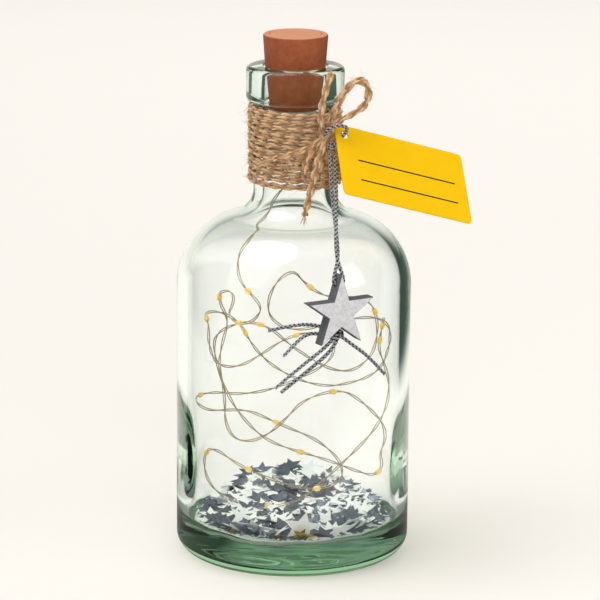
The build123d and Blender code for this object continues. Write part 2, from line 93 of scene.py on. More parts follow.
def makeMottle():
    # Soft blotches with a finer grain on top, between two colours
    group = newGroup(
        "mottle",
        [
            ("Low", "NodeSocketColor", (0.2, 0.2, 0.2, 1)),
            ("High", "NodeSocketColor", (0.8, 0.8, 0.8, 1)),
            ("Scale", "NodeSocketFloat", 300.0),
            ("Grain", "NodeSocketFloat", 0.4),
            ("Stretch", "NodeSocketVector", (1, 1, 1)),
        ],
        [("Color", "NodeSocketColor"), ("Height", "NodeSocketFloat")],
    )
    nodes, links = group.nodes, group.links
    inside, outside = nodes["Group Input"], nodes["Group Output"]
    place = nodes.new("ShaderNodeTexCoord")
    stretched = nodes.new("ShaderNodeVectorMath")
    stretched.operation = "MULTIPLY"
    links.new(place.outputs["Object"], stretched.inputs[0])
    links.new(inside.outputs["Stretch"], stretched.inputs[1])
    blotch = nodes.new("ShaderNodeTexNoise")
    blotch.inputs["Detail"].default_value = 3
    links.new(stretched.outputs[0], blotch.inputs["Vector"])
    links.new(inside.outputs["Scale"], blotch.inputs["Scale"])
    finer = nodes.new("ShaderNodeMath")
    finer.operation = "MULTIPLY"
    finer.inputs[1].default_value = mottleLook["finer"]
    links.new(inside.outputs["Scale"], finer.inputs[0])
    grain = nodes.new("ShaderNodeTexNoise")
    grain.inputs["Detail"].default_value = 2
    links.new(stretched.outputs[0], grain.inputs["Vector"])
    links.new(finer.outputs[0], grain.inputs["Scale"])
    both = nodes.new("ShaderNodeMix")
    links.new(inside.outputs["Grain"], both.inputs["Factor"])
    links.new(blotch.outputs["Fac"], both.inputs["A"])
    links.new(grain.outputs["Fac"], both.inputs["B"])
    spread = nodes.new("ShaderNodeMapRange")
    spread.inputs["From Min"].default_value = mottleLook["low"]
    spread.inputs["From Max"].default_value = mottleLook["high"]
    links.new(both.outputs["Result"], spread.inputs["Value"])
    tint = nodes.new("ShaderNodeMix")
    tint.data_type = "RGBA"
    links.new(spread.outputs["Result"], tint.inputs["Factor"])
    links.new(inside.outputs["Low"], tint.inputs["A"])
    links.new(inside.outputs["High"], tint.inputs["B"])
    links.new(tint.outputs["Result"], outside.inputs["Color"])
    links.new(spread.outputs["Result"], outside.inputs["Height"])
    return group


mottle = makeMottle()


def newMaterial(name):
    material = bpy.data.materials.new(name)
    material.use_nodes = True
    nodes, links = material.node_tree.nodes, material.node_tree.links
    return material, nodes, links, nodes["Principled BSDF"]


def mathNode(tree, operation, *values):
    node = tree.nodes.new("ShaderNodeMath")
    node.operation = operation
    for socket, value in zip(node.inputs, values):
        if isinstance(value, (int, float)):
            socket.default_value = value
        else:
            tree.links.new(value, socket)
    return node.outputs[0]


def stepNode(tree, value, limits):
    # Soft step from 0 to 1 between two values
    node = tree.nodes.new("ShaderNodeMapRange")
    node.interpolation_type = "SMOOTHSTEP"
    node.inputs["From Min"].default_value = limits[0]
    node.inputs["From Max"].default_value = limits[1]
    tree.links.new(value, node.inputs["Value"])
    return node.outputs["Result"]


def blendNode(tree, share, first, second):
    # From one colour to another
    node = tree.nodes.new("ShaderNodeMix")
    node.data_type = "RGBA"
    tree.links.new(share, node.inputs["Factor"])
    for label, value in (("A", first), ("B", second)):
        if isinstance(value, tuple):
            node.inputs[label].default_value = (*value, 1)
        else:
            tree.links.new(value, node.inputs[label])
    return node.outputs["Result"]


def placeNodes(tree, kind="Object"):
    # Coordinates, whole and in their three parts
    place = tree.nodes.new("ShaderNodeTexCoord").outputs[kind]
    apart = tree.nodes.new("ShaderNodeSeparateXYZ")
    tree.links.new(place, apart.inputs["Vector"])
    return place, apart.outputs


def mottledMaterial(name, low, high, scale, grain=0.4, stretch=(1, 1, 1), roughness=0.6, metallic=0.0,
                    bump=0.0, bumpDepth=0.0002, sheen=0.0):
    # Two-tone finish with its bump from the same pattern
    material, nodes, links, shader = newMaterial(name)
    pattern = nodes.new("ShaderNodeGroup")
    pattern.node_tree = mottle
    pattern.inputs["Low"].default_value = (*low, 1)
    pattern.inputs["High"].default_value = (*high, 1)
    pattern.inputs["Scale"].default_value = scale
    pattern.inputs["Grain"].default_value = grain
    pattern.inputs["Stretch"].default_value = stretch
    links.new(pattern.outputs["Color"], shader.inputs["Base Color"])
    shader.inputs["Roughness"].default_value = roughness
    shader.inputs["Metallic"].default_value = metallic
    shader.inputs["Sheen Weight"].default_value = sheen
    if bump:
        relief = nodes.new("ShaderNodeBump")
        relief.inputs["Strength"].default_value = bump
        relief.inputs["Distance"].default_value = bumpDepth
        links.new(pattern.outputs["Height"], relief.inputs["Height"])
        links.new(relief.outputs["Normal"], shader.inputs["Normal"])
    return material


# Helpers for pieces
creaseAngle = math.radians(38)


def newPiece(name, mesh, materials, body, slot, *nodes, smooth=True):
    mesh.name = name
    for index, material in enumerate(materials):
        if index < len(mesh.materials):
            mesh.materials[index] = material
        else:
            mesh.materials.append(material)
    if smooth:
        mesh.shade_smooth()
        mesh.set_sharp_from_angle(angle=creaseAngle)
    piece = bpy.data.objects.new(name, mesh)
    scene.collection.objects.link(piece)
    if body:
        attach(piece, body)
    if nodes:
        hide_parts(*nodes)
    return piece


def meshFrom(bm, name):
    mesh = bpy.data.meshes.new(name)
    bm.to_mesh(mesh)
    bm.free()
    return mesh


def shapePiece(name, bm, materials, body, slot, *nodes, smooth=True):
    return newPiece(name, meshFrom(bm, name), materials, body, slot, *nodes, smooth=smooth)


def arcPoints(centre, radius, start, end, count):
    # Points of a rounding in an outline, (radius, height) in millimetres, angles in degrees
    points = []
    for step in range(count + 1):
        angle = math.radians(start + (end - start) * step / count)
        points.append((centre[0] + radius * math.cos(angle), centre[1] + radius * math.sin(angle)))
    return points


def lathe(outline, steps, closed=False):
    # Full turn of an outline about the bottle's axis
    bm = bmesh.new()
    corners = [bm.verts.new((radius * mm, 0, height * mm)) for radius, height in outline]
    sides = [bm.edges.new(pair) for pair in zip(corners, corners[1:])]
    if closed:
        sides.append(bm.edges.new((corners[-1], corners[0])))
    bmesh.ops.spin(bm, geom=corners + sides, cent=(0, 0, 0), axis=(0, 0, 1), angle=math.tau, steps=steps,
                   use_merge=True)
    bmesh.ops.remove_doubles(bm, verts=bm.verts, dist=1e-6)
    bmesh.ops.dissolve_degenerate(bm, edges=bm.edges, dist=1e-7)
    bmesh.ops.recalc_face_normals(bm, faces=bm.faces)
    return bm


def readRoute(route, resolution=8):
    # Places along the smooth line that a route's points control
    curve = bpy.data.curves.new("routeLine", "CURVE")
    curve.dimensions = "3D"
    curve.resolution_u = resolution
    spline = curve.splines.new("NURBS")
    spline.points.add(len(route) - 1)
    for point, place in zip(spline.points, route):
        point.co = (place[0] * mm, place[1] * mm, place[2] * mm, 1)
    spline.order_u = 3
    spline.use_endpoint_u = True
    holder = bpy.data.objects.new("routeLine", curve)
    mesh = bpy.data.meshes.new_from_object(holder)
    line = [vertex.co.copy() for vertex in mesh.vertices]
    bpy.data.objects.remove(holder)
    bpy.data.curves.remove(curve)
    bpy.data.meshes.remove(mesh)
    return line


def carriedFrames(line):
    # Each place with two sideways directions that don't spin, and the length so far
    frames = []
    ahead = (line[1] - line[0]).normalized()
    side = ahead.orthogonal().normalized()
    along = 0.0
    for index, place in enumerate(line):
        ahead = (line[min(index + 1, len(line) - 1)] - line[max(index - 1, 0)]).normalized()
        side = (side - ahead * side.dot(ahead)).normalized()
        if index:
            along += (place - line[index - 1]).length
        frames.append((place, side, ahead.cross(side), ahead, along))
    return frames


def twisted(line, ring, count, pitch, phase=0.0):
    # Lines that wind round a line at a steady pitch; the ring is one size or one for each place
    rings = ring if hasattr(ring, "__len__") else [ring] * len(line)
    strands = []
    frames = carriedFrames(line)
    for strand in range(count):
        places = []
        for (place, side, up, ahead, along), reach in zip(frames, rings):
            angle = math.tau * (along / pitch + strand / count) + phase
            places.append(place + side * (reach * math.cos(angle)) + up * (reach * math.sin(angle)))
        strands.append(places)
    return strands


def strandPiece(name, strands, materials, body, slot, *nodes):
    # Round strands as one piece: each has its places, radii and material number
    curve = bpy.data.curves.new(name, "CURVE")
    curve.dimensions = "3D"
    curve.bevel_depth = mm
    curve.bevel_resolution = 1
    curve.use_fill_caps = True
    for number in range(1 + max(strand[2] for strand in strands)):
        curve.materials.append(None)
    for places, radii, number in strands:
        spline = curve.splines.new("POLY")
        spline.points.add(len(places) - 1)
        spline.use_smooth = True
        spline.material_index = number
        for index, place in enumerate(places):
            spline.points[index].co = (*place, 1)
            spline.points[index].radius = (radii[index] if hasattr(radii, "__len__") else radii) / mm
    holder = bpy.data.objects.new(name, curve)
    mesh = bpy.data.meshes.new_from_object(holder)
    bpy.data.objects.remove(holder)
    bpy.data.curves.remove(curve)
    return newPiece(name, mesh, materials, body, slot, *nodes)


# Jute twine: finishes, strands and loose fibres
twineLook = {
    "diameter": 1.8, "plyRing": 0.50, "plyPitch": 9.5, "yarnRing": 0.30, "yarnPitch": -5.2, "yarn": 0.37,
    "uneven": (0.86, 1.12), "seed": 11,
}
fibreLook = {"radius": 0.045, "taper": 0.12, "joints": 4, "root": 0.35, "leastLift": 0.1, "curl": 0.3}
frayLook = {"radii": (0.07, 0.06, 0.05, 0.04), "across": 0.5, "sunk": 0.6, "opening": 0.5, "shortest": 0.5}
twineTones = [
    ("twineMid", (0.40, 0.21, 0.088), (0.88, 0.545, 0.285), 900),
    ("twineLight", (0.64, 0.39, 0.19), (1.0, 0.74, 0.45), 1100),
    ("twineDark", (0.22, 0.11, 0.045), (0.52, 0.295, 0.14), 800),
]
twineFinishes = [mottledMaterial(*tone, 0.6, roughness=0.9, bump=0.6, sheen=0.25) for tone in twineTones]
twineLuck = random.Random(twineLook["seed"])


def twineStrands(line, size=1.0):
    # Two plies, each of three yarns, a little uneven; the size is one or one for each place
    sizes = size if hasattr(size, "__len__") else [size] * len(line)
    plyRings = [one * twineLook["plyRing"] * mm for one in sizes]
    yarnRings = [one * twineLook["yarnRing"] * mm for one in sizes]
    strands = []
    for ply in twisted(line, plyRings, 2, twineLook["plyPitch"] * mm):
        for number, yarn in enumerate(twisted(ply, yarnRings, 3, twineLook["yarnPitch"] * mm)):
            radii = [one * twineLook["yarn"] * mm * twineLuck.uniform(*twineLook["uneven"]) for one in sizes]
            strands.append((yarn, radii, number))
    return strands


def looseFibres(line, count, low, high, lift):
    # Hairs that leave the twine along its length
    frames = carriedFrames(line)
    shares = [step / fibreLook["joints"] for step in range(fibreLook["joints"] + 1)]
    radii = [fibreLook["radius"] * mm * (1 - fibreLook["taper"] * step) for step in range(len(shares))]
    fibres = []
    for index in range(count):
        place, side, up, ahead, along = frames[twineLuck.randrange(2, len(frames) - 2)]
        angle = twineLuck.uniform(0, math.tau)
        away = side * math.cos(angle) + up * math.sin(angle)
        way = ahead * twineLuck.choice((-1, 1)) + away * twineLuck.uniform(fibreLook["leastLift"], lift)
        bend = Vector([twineLuck.uniform(-1, 1) for axis in range(3)]) * fibreLook["curl"]
        length = twineLuck.uniform(low, high) * mm
        root = place + away * (fibreLook["root"] * twineLook["diameter"] * mm)
        places = [root + way.normalized() * (length * share) + bend * (length * share**2) for share in shares]
        fibres.append((places, radii, twineLuck.randrange(2)))
    return fibres


def frayedEnd(tip, way, count, length, spread):
    # Fibres that fan out of a cut end
    radii = [radius * mm for radius in frayLook["radii"]]
    shares = [step / (len(radii) - 1) for step in range(len(radii))]
    fibres = []
    for index in range(count):
        lean = Vector([twineLuck.uniform(-1, 1) for axis in range(3)]) * spread
        reach = length * twineLuck.uniform(frayLook["shortest"], 1.0) * mm
        root = tip + lean * (frayLook["across"] * mm) - way * (frayLook["sunk"] * mm)
        places = [root + (way + lean * (frayLook["opening"] * share)) * (reach * share) for share in shares]
        fibres.append((places, radii, twineLuck.randrange(2)))
    return fibres


# Twine wound round the neck, and an end laid across the front from its frayed tip to the bow's knot
windingShape = {
    "turns": 12, "radius": 14.75, "low": 126.6, "high": 152.2, "perTurn": 16, "slack": 0.35, "sway": 0.16,
    "slope": 1.2, "size": 0.97, "fibres": 2600, "laidFibres": 110,
}
laidRoute = [
    (-7.0, -15.9, 136.6), (-2.0, -17.0, 138.2), (3.0, -16.9, 139.8), (7.0, -15.8, 142.0),
    (10.2, -15.1, 144.2),
]


def windingRoute():
    w = windingShape
    route = []
    steps = w["turns"] * w["perTurn"]
    for step in range(steps + 1):
        angle = -math.tau * step / w["perTurn"]
        share = step / steps
        inner = math.sin(math.pi * share)  # both ends lie level
        radius = w["radius"] + twineLuck.uniform(0, w["slack"])
        height = w["low"] + (w["high"] - w["low"]) * share
        height += w["sway"] * math.sin(0.37 * angle + 1.3 * math.sin(angle)) * inner
        height -= w["slope"] * math.cos(angle) * inner  # lower on the right
        route.append((radius * math.cos(angle), radius * math.sin(angle), height))
    return route


windingLine = readRoute(windingRoute(), 9)
windingStrands = twineStrands(windingLine, windingShape["size"])
windingFibres = looseFibres(windingLine, windingShape["fibres"], 1.5, 5.0, 0.5)
laidLine = readRoute(laidRoute, 12)
windingStrands += twineStrands(laidLine)
windingFibres += looseFibres(laidLine, windingShape["laidFibres"], 2.0, 6.0, 0.8)
windingFibres += frayedEnd(laidLine[0], Vector((-0.9, -0.15, -0.3)), count=46, length=6.5, spread=0.55)
windingFibres += frayedEnd(laidLine[8], Vector((0.2, -0.25, -0.9)), count=30, length=5.5, spread=0.5)
strandPiece("twineWinding", windingStrands, twineFinishes, "bottle", "twine", "twine_winding")
strandPiece("windingFibres", windingFibres, twineFinishes, "bottle", "twine")
print("neck twine wound")


# The tag's own frame: along its long edge, up its short edge, out of its face
tagFrame = {"hole": (15.9, -16.4, 145.0), "long": (0.868, 0.403, -0.291), "short": (0.118, -0.732, -0.671)}
hitchPlace = Vector((12.0, -17.6, 141.4))

# Bow: one length of twine, up to its cut end, round both loops and down to its frayed end
bowShape = {
    "slim": 0.97, "full": 1.2, "near": 7.0, "far": 12.0, "fibres": 340, "tagLeft": 10.0, "tagTop": 151.0,
}
bowRoute = [
    (11.6, -17.6, 165.5), (9.8, -18.4, 160.0), (8.6, -18.7, 154.5), (8.2, -17.8, 149.5),
    (9.0, -15.8, 145.2),
    (10.0, -14.6, 144.6),
    (10.8, -14.6, 146.3), (11.2, -16.8, 150.0), (13.2, -18.2, 154.6), (15.6, -18.4, 159.0),
    (18.4, -18.0, 162.6),
    (21.4, -17.2, 163.4), (23.6, -16.2, 161.0), (23.9, -15.8, 157.2), (21.8, -16.4, 153.8),
    (17.6, -18.2, 151.8),
    (13.2, -19.4, 149.4), (10.9, -17.0, 145.4), (10.2, -15.4, 143.9),
    (9.0, -14.3, 143.4), (6.6, -16.4, 141.0), (4.2, -16.9, 137.0), (3.0, -17.1, 133.0), (4.0, -17.3, 130.0),
    (6.8, -16.9, 130.4), (8.4, -16.1, 134.0), (9.9, -15.4, 138.0), (11.4, -14.1, 141.6),
    (10.6, -14.8, 143.6),
    (9.8, -16.6, 142.6), (8.0, -18.8, 138.6), (6.6, -19.6, 133.0), (5.4, -19.7, 127.5), (4.2, -19.4, 123.0),
    (3.4, -19.2, 118.8),
]
bowLine = readRoute(bowRoute, 10)
bowLength = carriedFrames(bowLine)[-1][4]
# Pressed thinner beside the tag, so that it can swing
tagGaps = [(place - Vector(tagFrame["hole"]) * mm).length / mm for place in bowLine]
bowEase = bowShape["far"] - bowShape["near"]
freed = [min(1.0, max(0.0, (gap - bowShape["near"]) / bowEase)) for gap in tagGaps]
bowSizes = [bowShape["slim"] + (bowShape["full"] - bowShape["slim"]) * share for share in freed]
bowTwine = strandPiece("bowTwine", twineStrands(bowLine, bowSizes), twineFinishes, "bottle", "twine",
                       "bow_loop", "hanging_loop", "tail_up", "tail_down")


def clearOfTag(fibre):
    # None hangs into the tag's swing
    left, top = bowShape["tagLeft"] * mm, bowShape["tagTop"] * mm
    return all(place.x < left or place.z > top for place in fibre[0])


fibres = [fibre for fibre in looseFibres(bowLine, bowShape["fibres"], 1.5, 4.5, 0.6) if clearOfTag(fibre)]
fibres += frayedEnd(bowLine[0], (bowLine[0] - bowLine[3]).normalized(), count=16, length=1.6, spread=0.5)
fibres += frayedEnd(bowLine[-1], (bowLine[-1] - bowLine[-4]).normalized(), count=26, length=4.2, spread=0.6)
bowFibres = strandPiece("bowFibres", fibres, twineFinishes, "bottle", "twine")


def knotLine(centre, ring, tube, turn):
    # A closed overhand knot's line, as points of its own route
    route = []
    steps = 24
    for step in range(steps + 1):
        angle = math.tau * step / steps
        reach = ring + tube * math.cos(3 * angle)
        flat = Vector((reach * math.cos(2 * angle), reach * math.sin(2 * angle), tube * math.sin(3 * angle)))
        route.append(tuple(Vector(centre) + turn @ flat))
    return readRoute(route, 8)


bowKnotShape = {
    "place": (10.2, -15.1, 144.2), "ring": 1.1, "tube": 0.7, "lean": 70, "turn": 25, "size": 0.95,
    "fibres": 90, "hitchRoom": 3.4,
}
knotTurn = (Matrix.Rotation(math.radians(bowKnotShape["lean"]), 3, "X")
            @ Matrix.Rotation(math.radians(bowKnotShape["turn"]), 3, "Y"))
bowKnotLine = knotLine(bowKnotShape["place"], bowKnotShape["ring"], bowKnotShape["tube"], knotTurn)
bowKnotStrands = twineStrands(bowKnotLine, bowKnotShape["size"])
for fibre in looseFibres(bowKnotLine, bowKnotShape["fibres"], 1.5, 4.0, 0.7):
    if min((place - hitchPlace * mm).length for place in fibre[0]) > bowKnotShape["hitchRoom"] * mm:
        bowKnotStrands.append(fibre)  # clear of the cord's hitch
strandPiece("bowKnot", bowKnotStrands, twineFinishes, "bottle", "twine", "bow_knot")
print("bow tied, twine", round(bowLength, 4), "m")


# Silver cord: two silver and two dark strands that cross each other
cordLook = {"diameter": 1.4, "ring": 0.37, "pitch": 2.9, "strands": (0.31, 0.26), "offset": 0.8}
cordFinishes = [
    mottledMaterial("cordSilver", (0.58, 0.58, 0.62), (0.96, 0.96, 0.98), 2600, 0.7, roughness=0.32,
                    metallic=0.75, bump=0.5),
    mottledMaterial("cordDark", (0.006, 0.006, 0.010), (0.05, 0.045, 0.065), 2600, 0.7, roughness=0.45,
                    metallic=0.3, bump=0.5),
]


def braid(line, phase=0.0):
    strands = []
    ring, pitch = cordLook["ring"] * mm, cordLook["pitch"] * mm
    for number, sense in ((0, 1), (1, -1)):
        for places in twisted(line, ring, 2, sense * pitch, phase + cordLook["offset"] * number):
            strands.append((places, cordLook["strands"][number] * mm, number))
    return strands


tagOut = Vector(tagFrame["short"]).cross(Vector(tagFrame["long"])).normalized()
tagLong = Vector(tagFrame["long"]).normalized()
tagUp = tagOut.cross(tagLong)


def fromTag(place):
    return tuple(Vector(tagFrame["hole"]) + tagLong * place[0] + tagUp * place[1] + tagOut * place[2])


tieRoute = [
    (-4.4, 1.5, -4.4), (-2.3, 0.6, -4.9), (0, 0, -3.0), (0, 0, 2.8), (-2.2, 0, 4.6), (-5.4, -0.3, 3.8),
    (-6.9, -0.5, 0.8), (-5.9, -0.6, -2.0),
]
tieLine = readRoute([fromTag(place) for place in tieRoute], 14)
tieLoop = strandPiece("tieLoop", braid(tieLine), cordFinishes, "bottle", "cord", "tie_loop")

# Pendant cord: two strands from the hitch to the star, crossing once on the way
starFrame = {
    "azimuth": 19.5, "turn": 30.0, "out": 43.15, "height": 92.0, "radius": 12.75, "waist": 4.8,
    "thickness": 4.5, "holeUp": 9.15, "hole": 2.0, "edge": 0.35, "knotDrop": 7.28,
}


def facing(degrees):
    # Directions out from the bottle and to the right
    turn = math.radians(degrees)
    return Vector((math.sin(turn), -math.cos(turn), 0)), Vector((math.cos(turn), math.sin(turn), 0))


starOut, starSide = facing(starFrame["azimuth"])
faceOut, faceSide = facing(starFrame["turn"])


def fromStar(side, out, up):
    # Place by steps to the right, out from the bottle's axis and up from the star's centre
    return tuple(starSide * side + starOut * out + Vector((0, 0, starFrame["height"] + up)))


holePlace = Vector(fromStar(0, starFrame["out"], starFrame["holeUp"]))
fall = (holePlace - hitchPlace).normalized()
cordTop = hitchPlace + fall * 2.2
cordFront = starSide.cross(fall)
# Steps aside from the straight way down, in millimetres
pendantRoute = [
    tuple(cordTop - starSide * 0.85),
    tuple(cordTop.lerp(holePlace, 0.3) - starSide * 0.9),
    tuple(cordTop.lerp(holePlace, 0.55) + starSide * 0.2 + cordFront * 0.8),
    tuple(cordTop.lerp(holePlace, 0.8) + starSide * 0.6 + cordFront * 0.5),
    tuple(holePlace - fall * 3.2 - faceSide * 1.5),
    tuple(holePlace - faceSide * 2.1),
    tuple(holePlace + faceSide * 2.1),
    tuple(holePlace - fall * 3.2 + faceSide * 1.5),
    tuple(cordTop.lerp(holePlace, 0.8) - starSide * 0.6 - cordFront * 0.5),
    tuple(cordTop.lerp(holePlace, 0.55) - starSide * 0.2 - cordFront * 0.8),
    tuple(cordTop.lerp(holePlace, 0.3) + starSide * 0.9),
    tuple(cordTop + starSide * 0.85),
]
pendantLine = readRoute(pendantRoute, 40)
pendantLength = carriedFrames(pendantLine)[-1][4]
pendantCord = strandPiece("pendantCord", braid(pendantLine), cordFinishes, "pendant", "cord", "pendant_cord")
hitchShape = {"ring": 0.75, "tube": 0.35, "lean": 40}
hitchTurn = Matrix.Rotation(math.radians(hitchShape["lean"]), 3, "X")
hitchLine = knotLine(tuple(hitchPlace), hitchShape["ring"], hitchShape["tube"], hitchTurn)
strandPiece("cordHitch", braid(hitchLine), cordFinishes, "hitch", "cord", "cord_hitch")

# Loose ends under the star: side, out and height from the knot
endRoutes = {
    "right": [(1.2, 43.9, -1.2), (5.0, 44.8, -4.2), (10.4, 44.4, -8.4), (16.4, 42.6, -15.0)],
    "leftLow": [(-1.4, 44.5, -0.6), (-6.4, 46.2, -4.2), (-12.6, 45.6, -8.6), (-21.2, 42.8, -16.6)],
    "leftLower": [(-0.6, 44.5, -2.0), (-5.0, 46.4, -6.0), (-11.0, 46.0, -10.6), (-19.4, 43.4, -18.0)],
    "leftBehind": [(-0.6, 40.6, -2.2), (-4.6, 40.4, -0.6), (-8.8, 40.5, 0.2), (-13.2, 41.6, -1.6),
                   (-18.4, 42.4, -6.4)],
    "leftHigh": [(-0.9, 40.2, -0.4), (-4.4, 40.0, 1.9), (-9.0, 40.0, 3.0), (-15.0, 40.6, 3.2),
                 (-22.6, 39.8, 1.9)],
}


def endRoute(name):
    return [fromStar(side, out, up - starFrame["knotDrop"]) for side, out, up in endRoutes[name]]


knotPlace = fromStar(0, starFrame["out"], -starFrame["knotDrop"])
behindKnot = fromStar(0.4, 41.0, -starFrame["knotDrop"] - 1.0)
crossRoutes = {
    "cordEndsWide": endRoute("leftHigh")[::-1] + [behindKnot, knotPlace] + endRoute("right"),
    "cordEndsLow": endRoute("leftBehind")[::-1] + [behindKnot, knotPlace] + endRoute("leftLow"),
}
lowerLine = readRoute([knotPlace] + endRoute("leftLower"), 30)
lowerEnd = strandPiece("cordEndLower", braid(lowerLine, 1.0), cordFinishes, "pendant", "cord")
for name, route in crossRoutes.items():
    line = readRoute(route, 20)
    length = carriedFrames(line)[-1][4]
    piece = strandPiece(name, braid(line, 0.4), cordFinishes, "pendant", "cord", "star_tails")
    print(name, round(length, 4), "m")
starKnotShape = {"ring": 0.95, "tube": 0.5, "lean": 80}
starKnotTurn = Matrix.Rotation(math.radians(starKnotShape["lean"]), 3, "X")
starKnotLine = knotLine(knotPlace, starKnotShape["ring"], starKnotShape["tube"], starKnotTurn)
strandPiece("starKnot", braid(starKnotLine), cordFinishes[::-1], "pendant", "cord", "star_knot")
print("pendant cord", round(pendantLength, 4), "m")


# Light string: a loosely twisted pair of fine wires
stringRoute = [
    (0, 0, 141.1), (0, 0, 131), (-2, -1, 126), (-6.8, -2, 121), (-7.8, -4.2, 115.5), (-14, -11, 109),
    (-18, -14, 104), (-18, -17, 98), (-16, -20, 95), (-13, -21, 92), (-10, -24, 89),
    (-12, -26, 86), (-15, -25, 84), (-19, -23, 84), (-21, -20, 86), (-19, -19, 90),
    (-20, -17, 93), (-24, -15, 92), (-24, -13, 88), (-21, -12, 82), (-23, -14, 75),
    (-24, -20, 68), (-21, -24, 60), (-16, -28, 53), (-9, -32, 47), (-1, -33, 44),
    (6, -33, 42), (13, -31, 39), (20, -27, 35), (26, -20, 31), (29, -16, 33),
    (28, -16, 38), (30, -14, 42), (29, -16, 48), (25, -21, 54), (20, -27, 60),
    (16, -30, 63), (10, -32, 63), (3, -32, 60), (-2, -31, 54), (-7, -28, 48),
    (-13, -25, 44), (-19, -22, 44), (-22, -18, 49), (-22, -16, 57), (-24, -13, 65),
    (-26, -12, 72), (-25, -15, 78), (-20, -19, 82), (-14, -21, 84), (-7, -23, 82),
    (-2, -22, 77), (5, -22, 72), (12, -22, 68), (19, -21, 67), (25, -17, 71),
    (27, -14, 77), (27, -13, 83), (25, -15, 89), (19, -20, 92), (13, -26, 93),
    (8, -29, 95), (3, -30, 99), (0, -31, 103), (-5, -31, 100), (-8, -30, 94),
    (-8, -30, 88), (-3, -31, 84), (4, -32, 84), (11, -31, 86), (18, -29, 87),
    (25, -22, 86), (30, -14, 82), (32, -6, 75), (32, 2, 68), (31, 10, 61),
    (27, 18, 55), (21, 25, 51), (13, 30, 48), (4, 32, 49), (-4, 31, 53),
    (-10, 28, 58), (-15, 24, 65), (-18, 20, 72), (-22, 14, 77), (-27, 8, 80),
    (-30, 1, 81), (-28, -5, 79), (-28, -6, 74), (-28, 0, 69), (-27, 7, 63),
    (-24, 14, 59), (-18, 19, 58), (-11, 24, 61), (-3, 30, 65), (5, 32, 67),
    (12, 31, 66), (15, 29, 63), (13, 27, 58), (7, 27, 54), (-1, 28, 50),
    (-10, 27, 47), (-19, 23, 47), (-26, 18, 49), (-31, 9, 51), (-33, 1, 52),
    (-32, -6, 52), (-28, -12, 51), (-22, -15, 52), (-15, -18, 53), (-9, -20, 51),
    (-2, -21, 48), (6, -22, 45), (12, -23, 41), (16, -23, 36), (16, -22, 30),
    (11, -20, 27), (5, -19, 26), (-3, -19, 28), (-11, -19, 31), (-18, -17, 34),
    (-24, -12, 37), (-28, -5, 36), (-30, 0, 31), (-30, 3, 25), (-27, 3, 19),
    (-20, 2, 15), (-12, 2, 13), (-5, 1, 14), (1, -4, 17), (6, -10, 22),
    (11, -16, 29), (16, -19, 35), (22, -18, 41), (27, -14, 46), (31, -8, 52),
    (32, -5, 59), (30, -5, 66), (28, -6, 71), (29, -4, 76), (30, -3, 81),
]
stringLook = {
    "width": 1.0, "wire": 0.18, "ring": 0.32, "pitch": 20.0,
    "lightRuns": [8, 12, 17, 25, 29, 36, 49, 57, 61, 82, 86, 94, 104, 110, 116, 119, 122, 127, 138, 139],
    "drop": (1.9, 1.9, 2.8), "chip": (0.9, 0.5, 1.5), "chipEdge": 0.12,
}
wireFinish = mottledMaterial("wireEnamel", (0.38, 0.29, 0.17), (0.74, 0.61, 0.40), 700, 0.3, roughness=0.35,
                             metallic=0.5)
stringLine = readRoute(stringRoute, 7)
stringLength = carriedFrames(stringLine)[-1][4]
stringWires = [(places, stringLook["wire"] * mm, 0) for places in
               twisted(stringLine, stringLook["ring"] * mm, 2, stringLook["pitch"] * mm)]
lightString = strandPiece("lightString", stringWires, [wireFinish], None, "wire", "lead_wire", "light_wire")
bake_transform(lightString)

# A resin drop with its chip, at each light
resinLook = {
    "Base Color": (1.0, 0.86, 0.42, 1), "Roughness": 0.08, "IOR": 1.4, "Transmission Weight": 0.7,
    "Emission Color": (1.0, 0.70, 0.20, 1), "Emission Strength": 0.22,
}
resinFinish, nodes, links, shader = newMaterial("amberResin")
for label, value in resinLook.items():
    shader.inputs[label].default_value = value
chipFinish = mottledMaterial("yellowChip", (0.95, 0.50, 0.04), (1.0, 0.74, 0.16), 1500, 0.3, roughness=0.4)
dropShapes, chipShapes = bmesh.new(), bmesh.new()
for run in stringLook["lightRuns"]:
    middle = (Vector(stringRoute[run]) + Vector(stringRoute[run + 1])) * (0.5 * mm)
    nearest = min(range(1, len(stringLine) - 1), key=lambda index: (stringLine[index] - middle).length)
    way = (stringLine[nearest + 1] - stringLine[nearest - 1]).normalized()
    place = Matrix.Translation(stringLine[nearest]) @ way.to_track_quat("Z", "Y").to_matrix().to_4x4()
    made = bmesh.ops.create_uvsphere(dropShapes, u_segments=16, v_segments=12, radius=0.5)["verts"]
    bmesh.ops.scale(dropShapes, verts=made, vec=Vector(stringLook["drop"]) * mm)
    bmesh.ops.transform(dropShapes, verts=made, matrix=place)
    made = bmesh.ops.create_cube(chipShapes, size=1.0)["verts"]
    bmesh.ops.scale(chipShapes, verts=made, vec=Vector(stringLook["chip"]) * mm)
    bmesh.ops.transform(chipShapes, verts=made, matrix=place)
bmesh.ops.bevel(chipShapes, geom=chipShapes.edges[:], offset=stringLook["chipEdge"] * mm,
                offset_type="OFFSET", segments=2, profile=0.5, affect="EDGES", material=-1)
lightDrops = shapePiece("lightDrops", dropShapes, [resinFinish], "bottle", "drops", "light_drops")
lightChips = shapePiece("lightChips", chipShapes, [chipFinish], "bottle", "drops")
print("light string", round(stringLength, 3), "m,", len(stringLook["lightRuns"]), "lights")


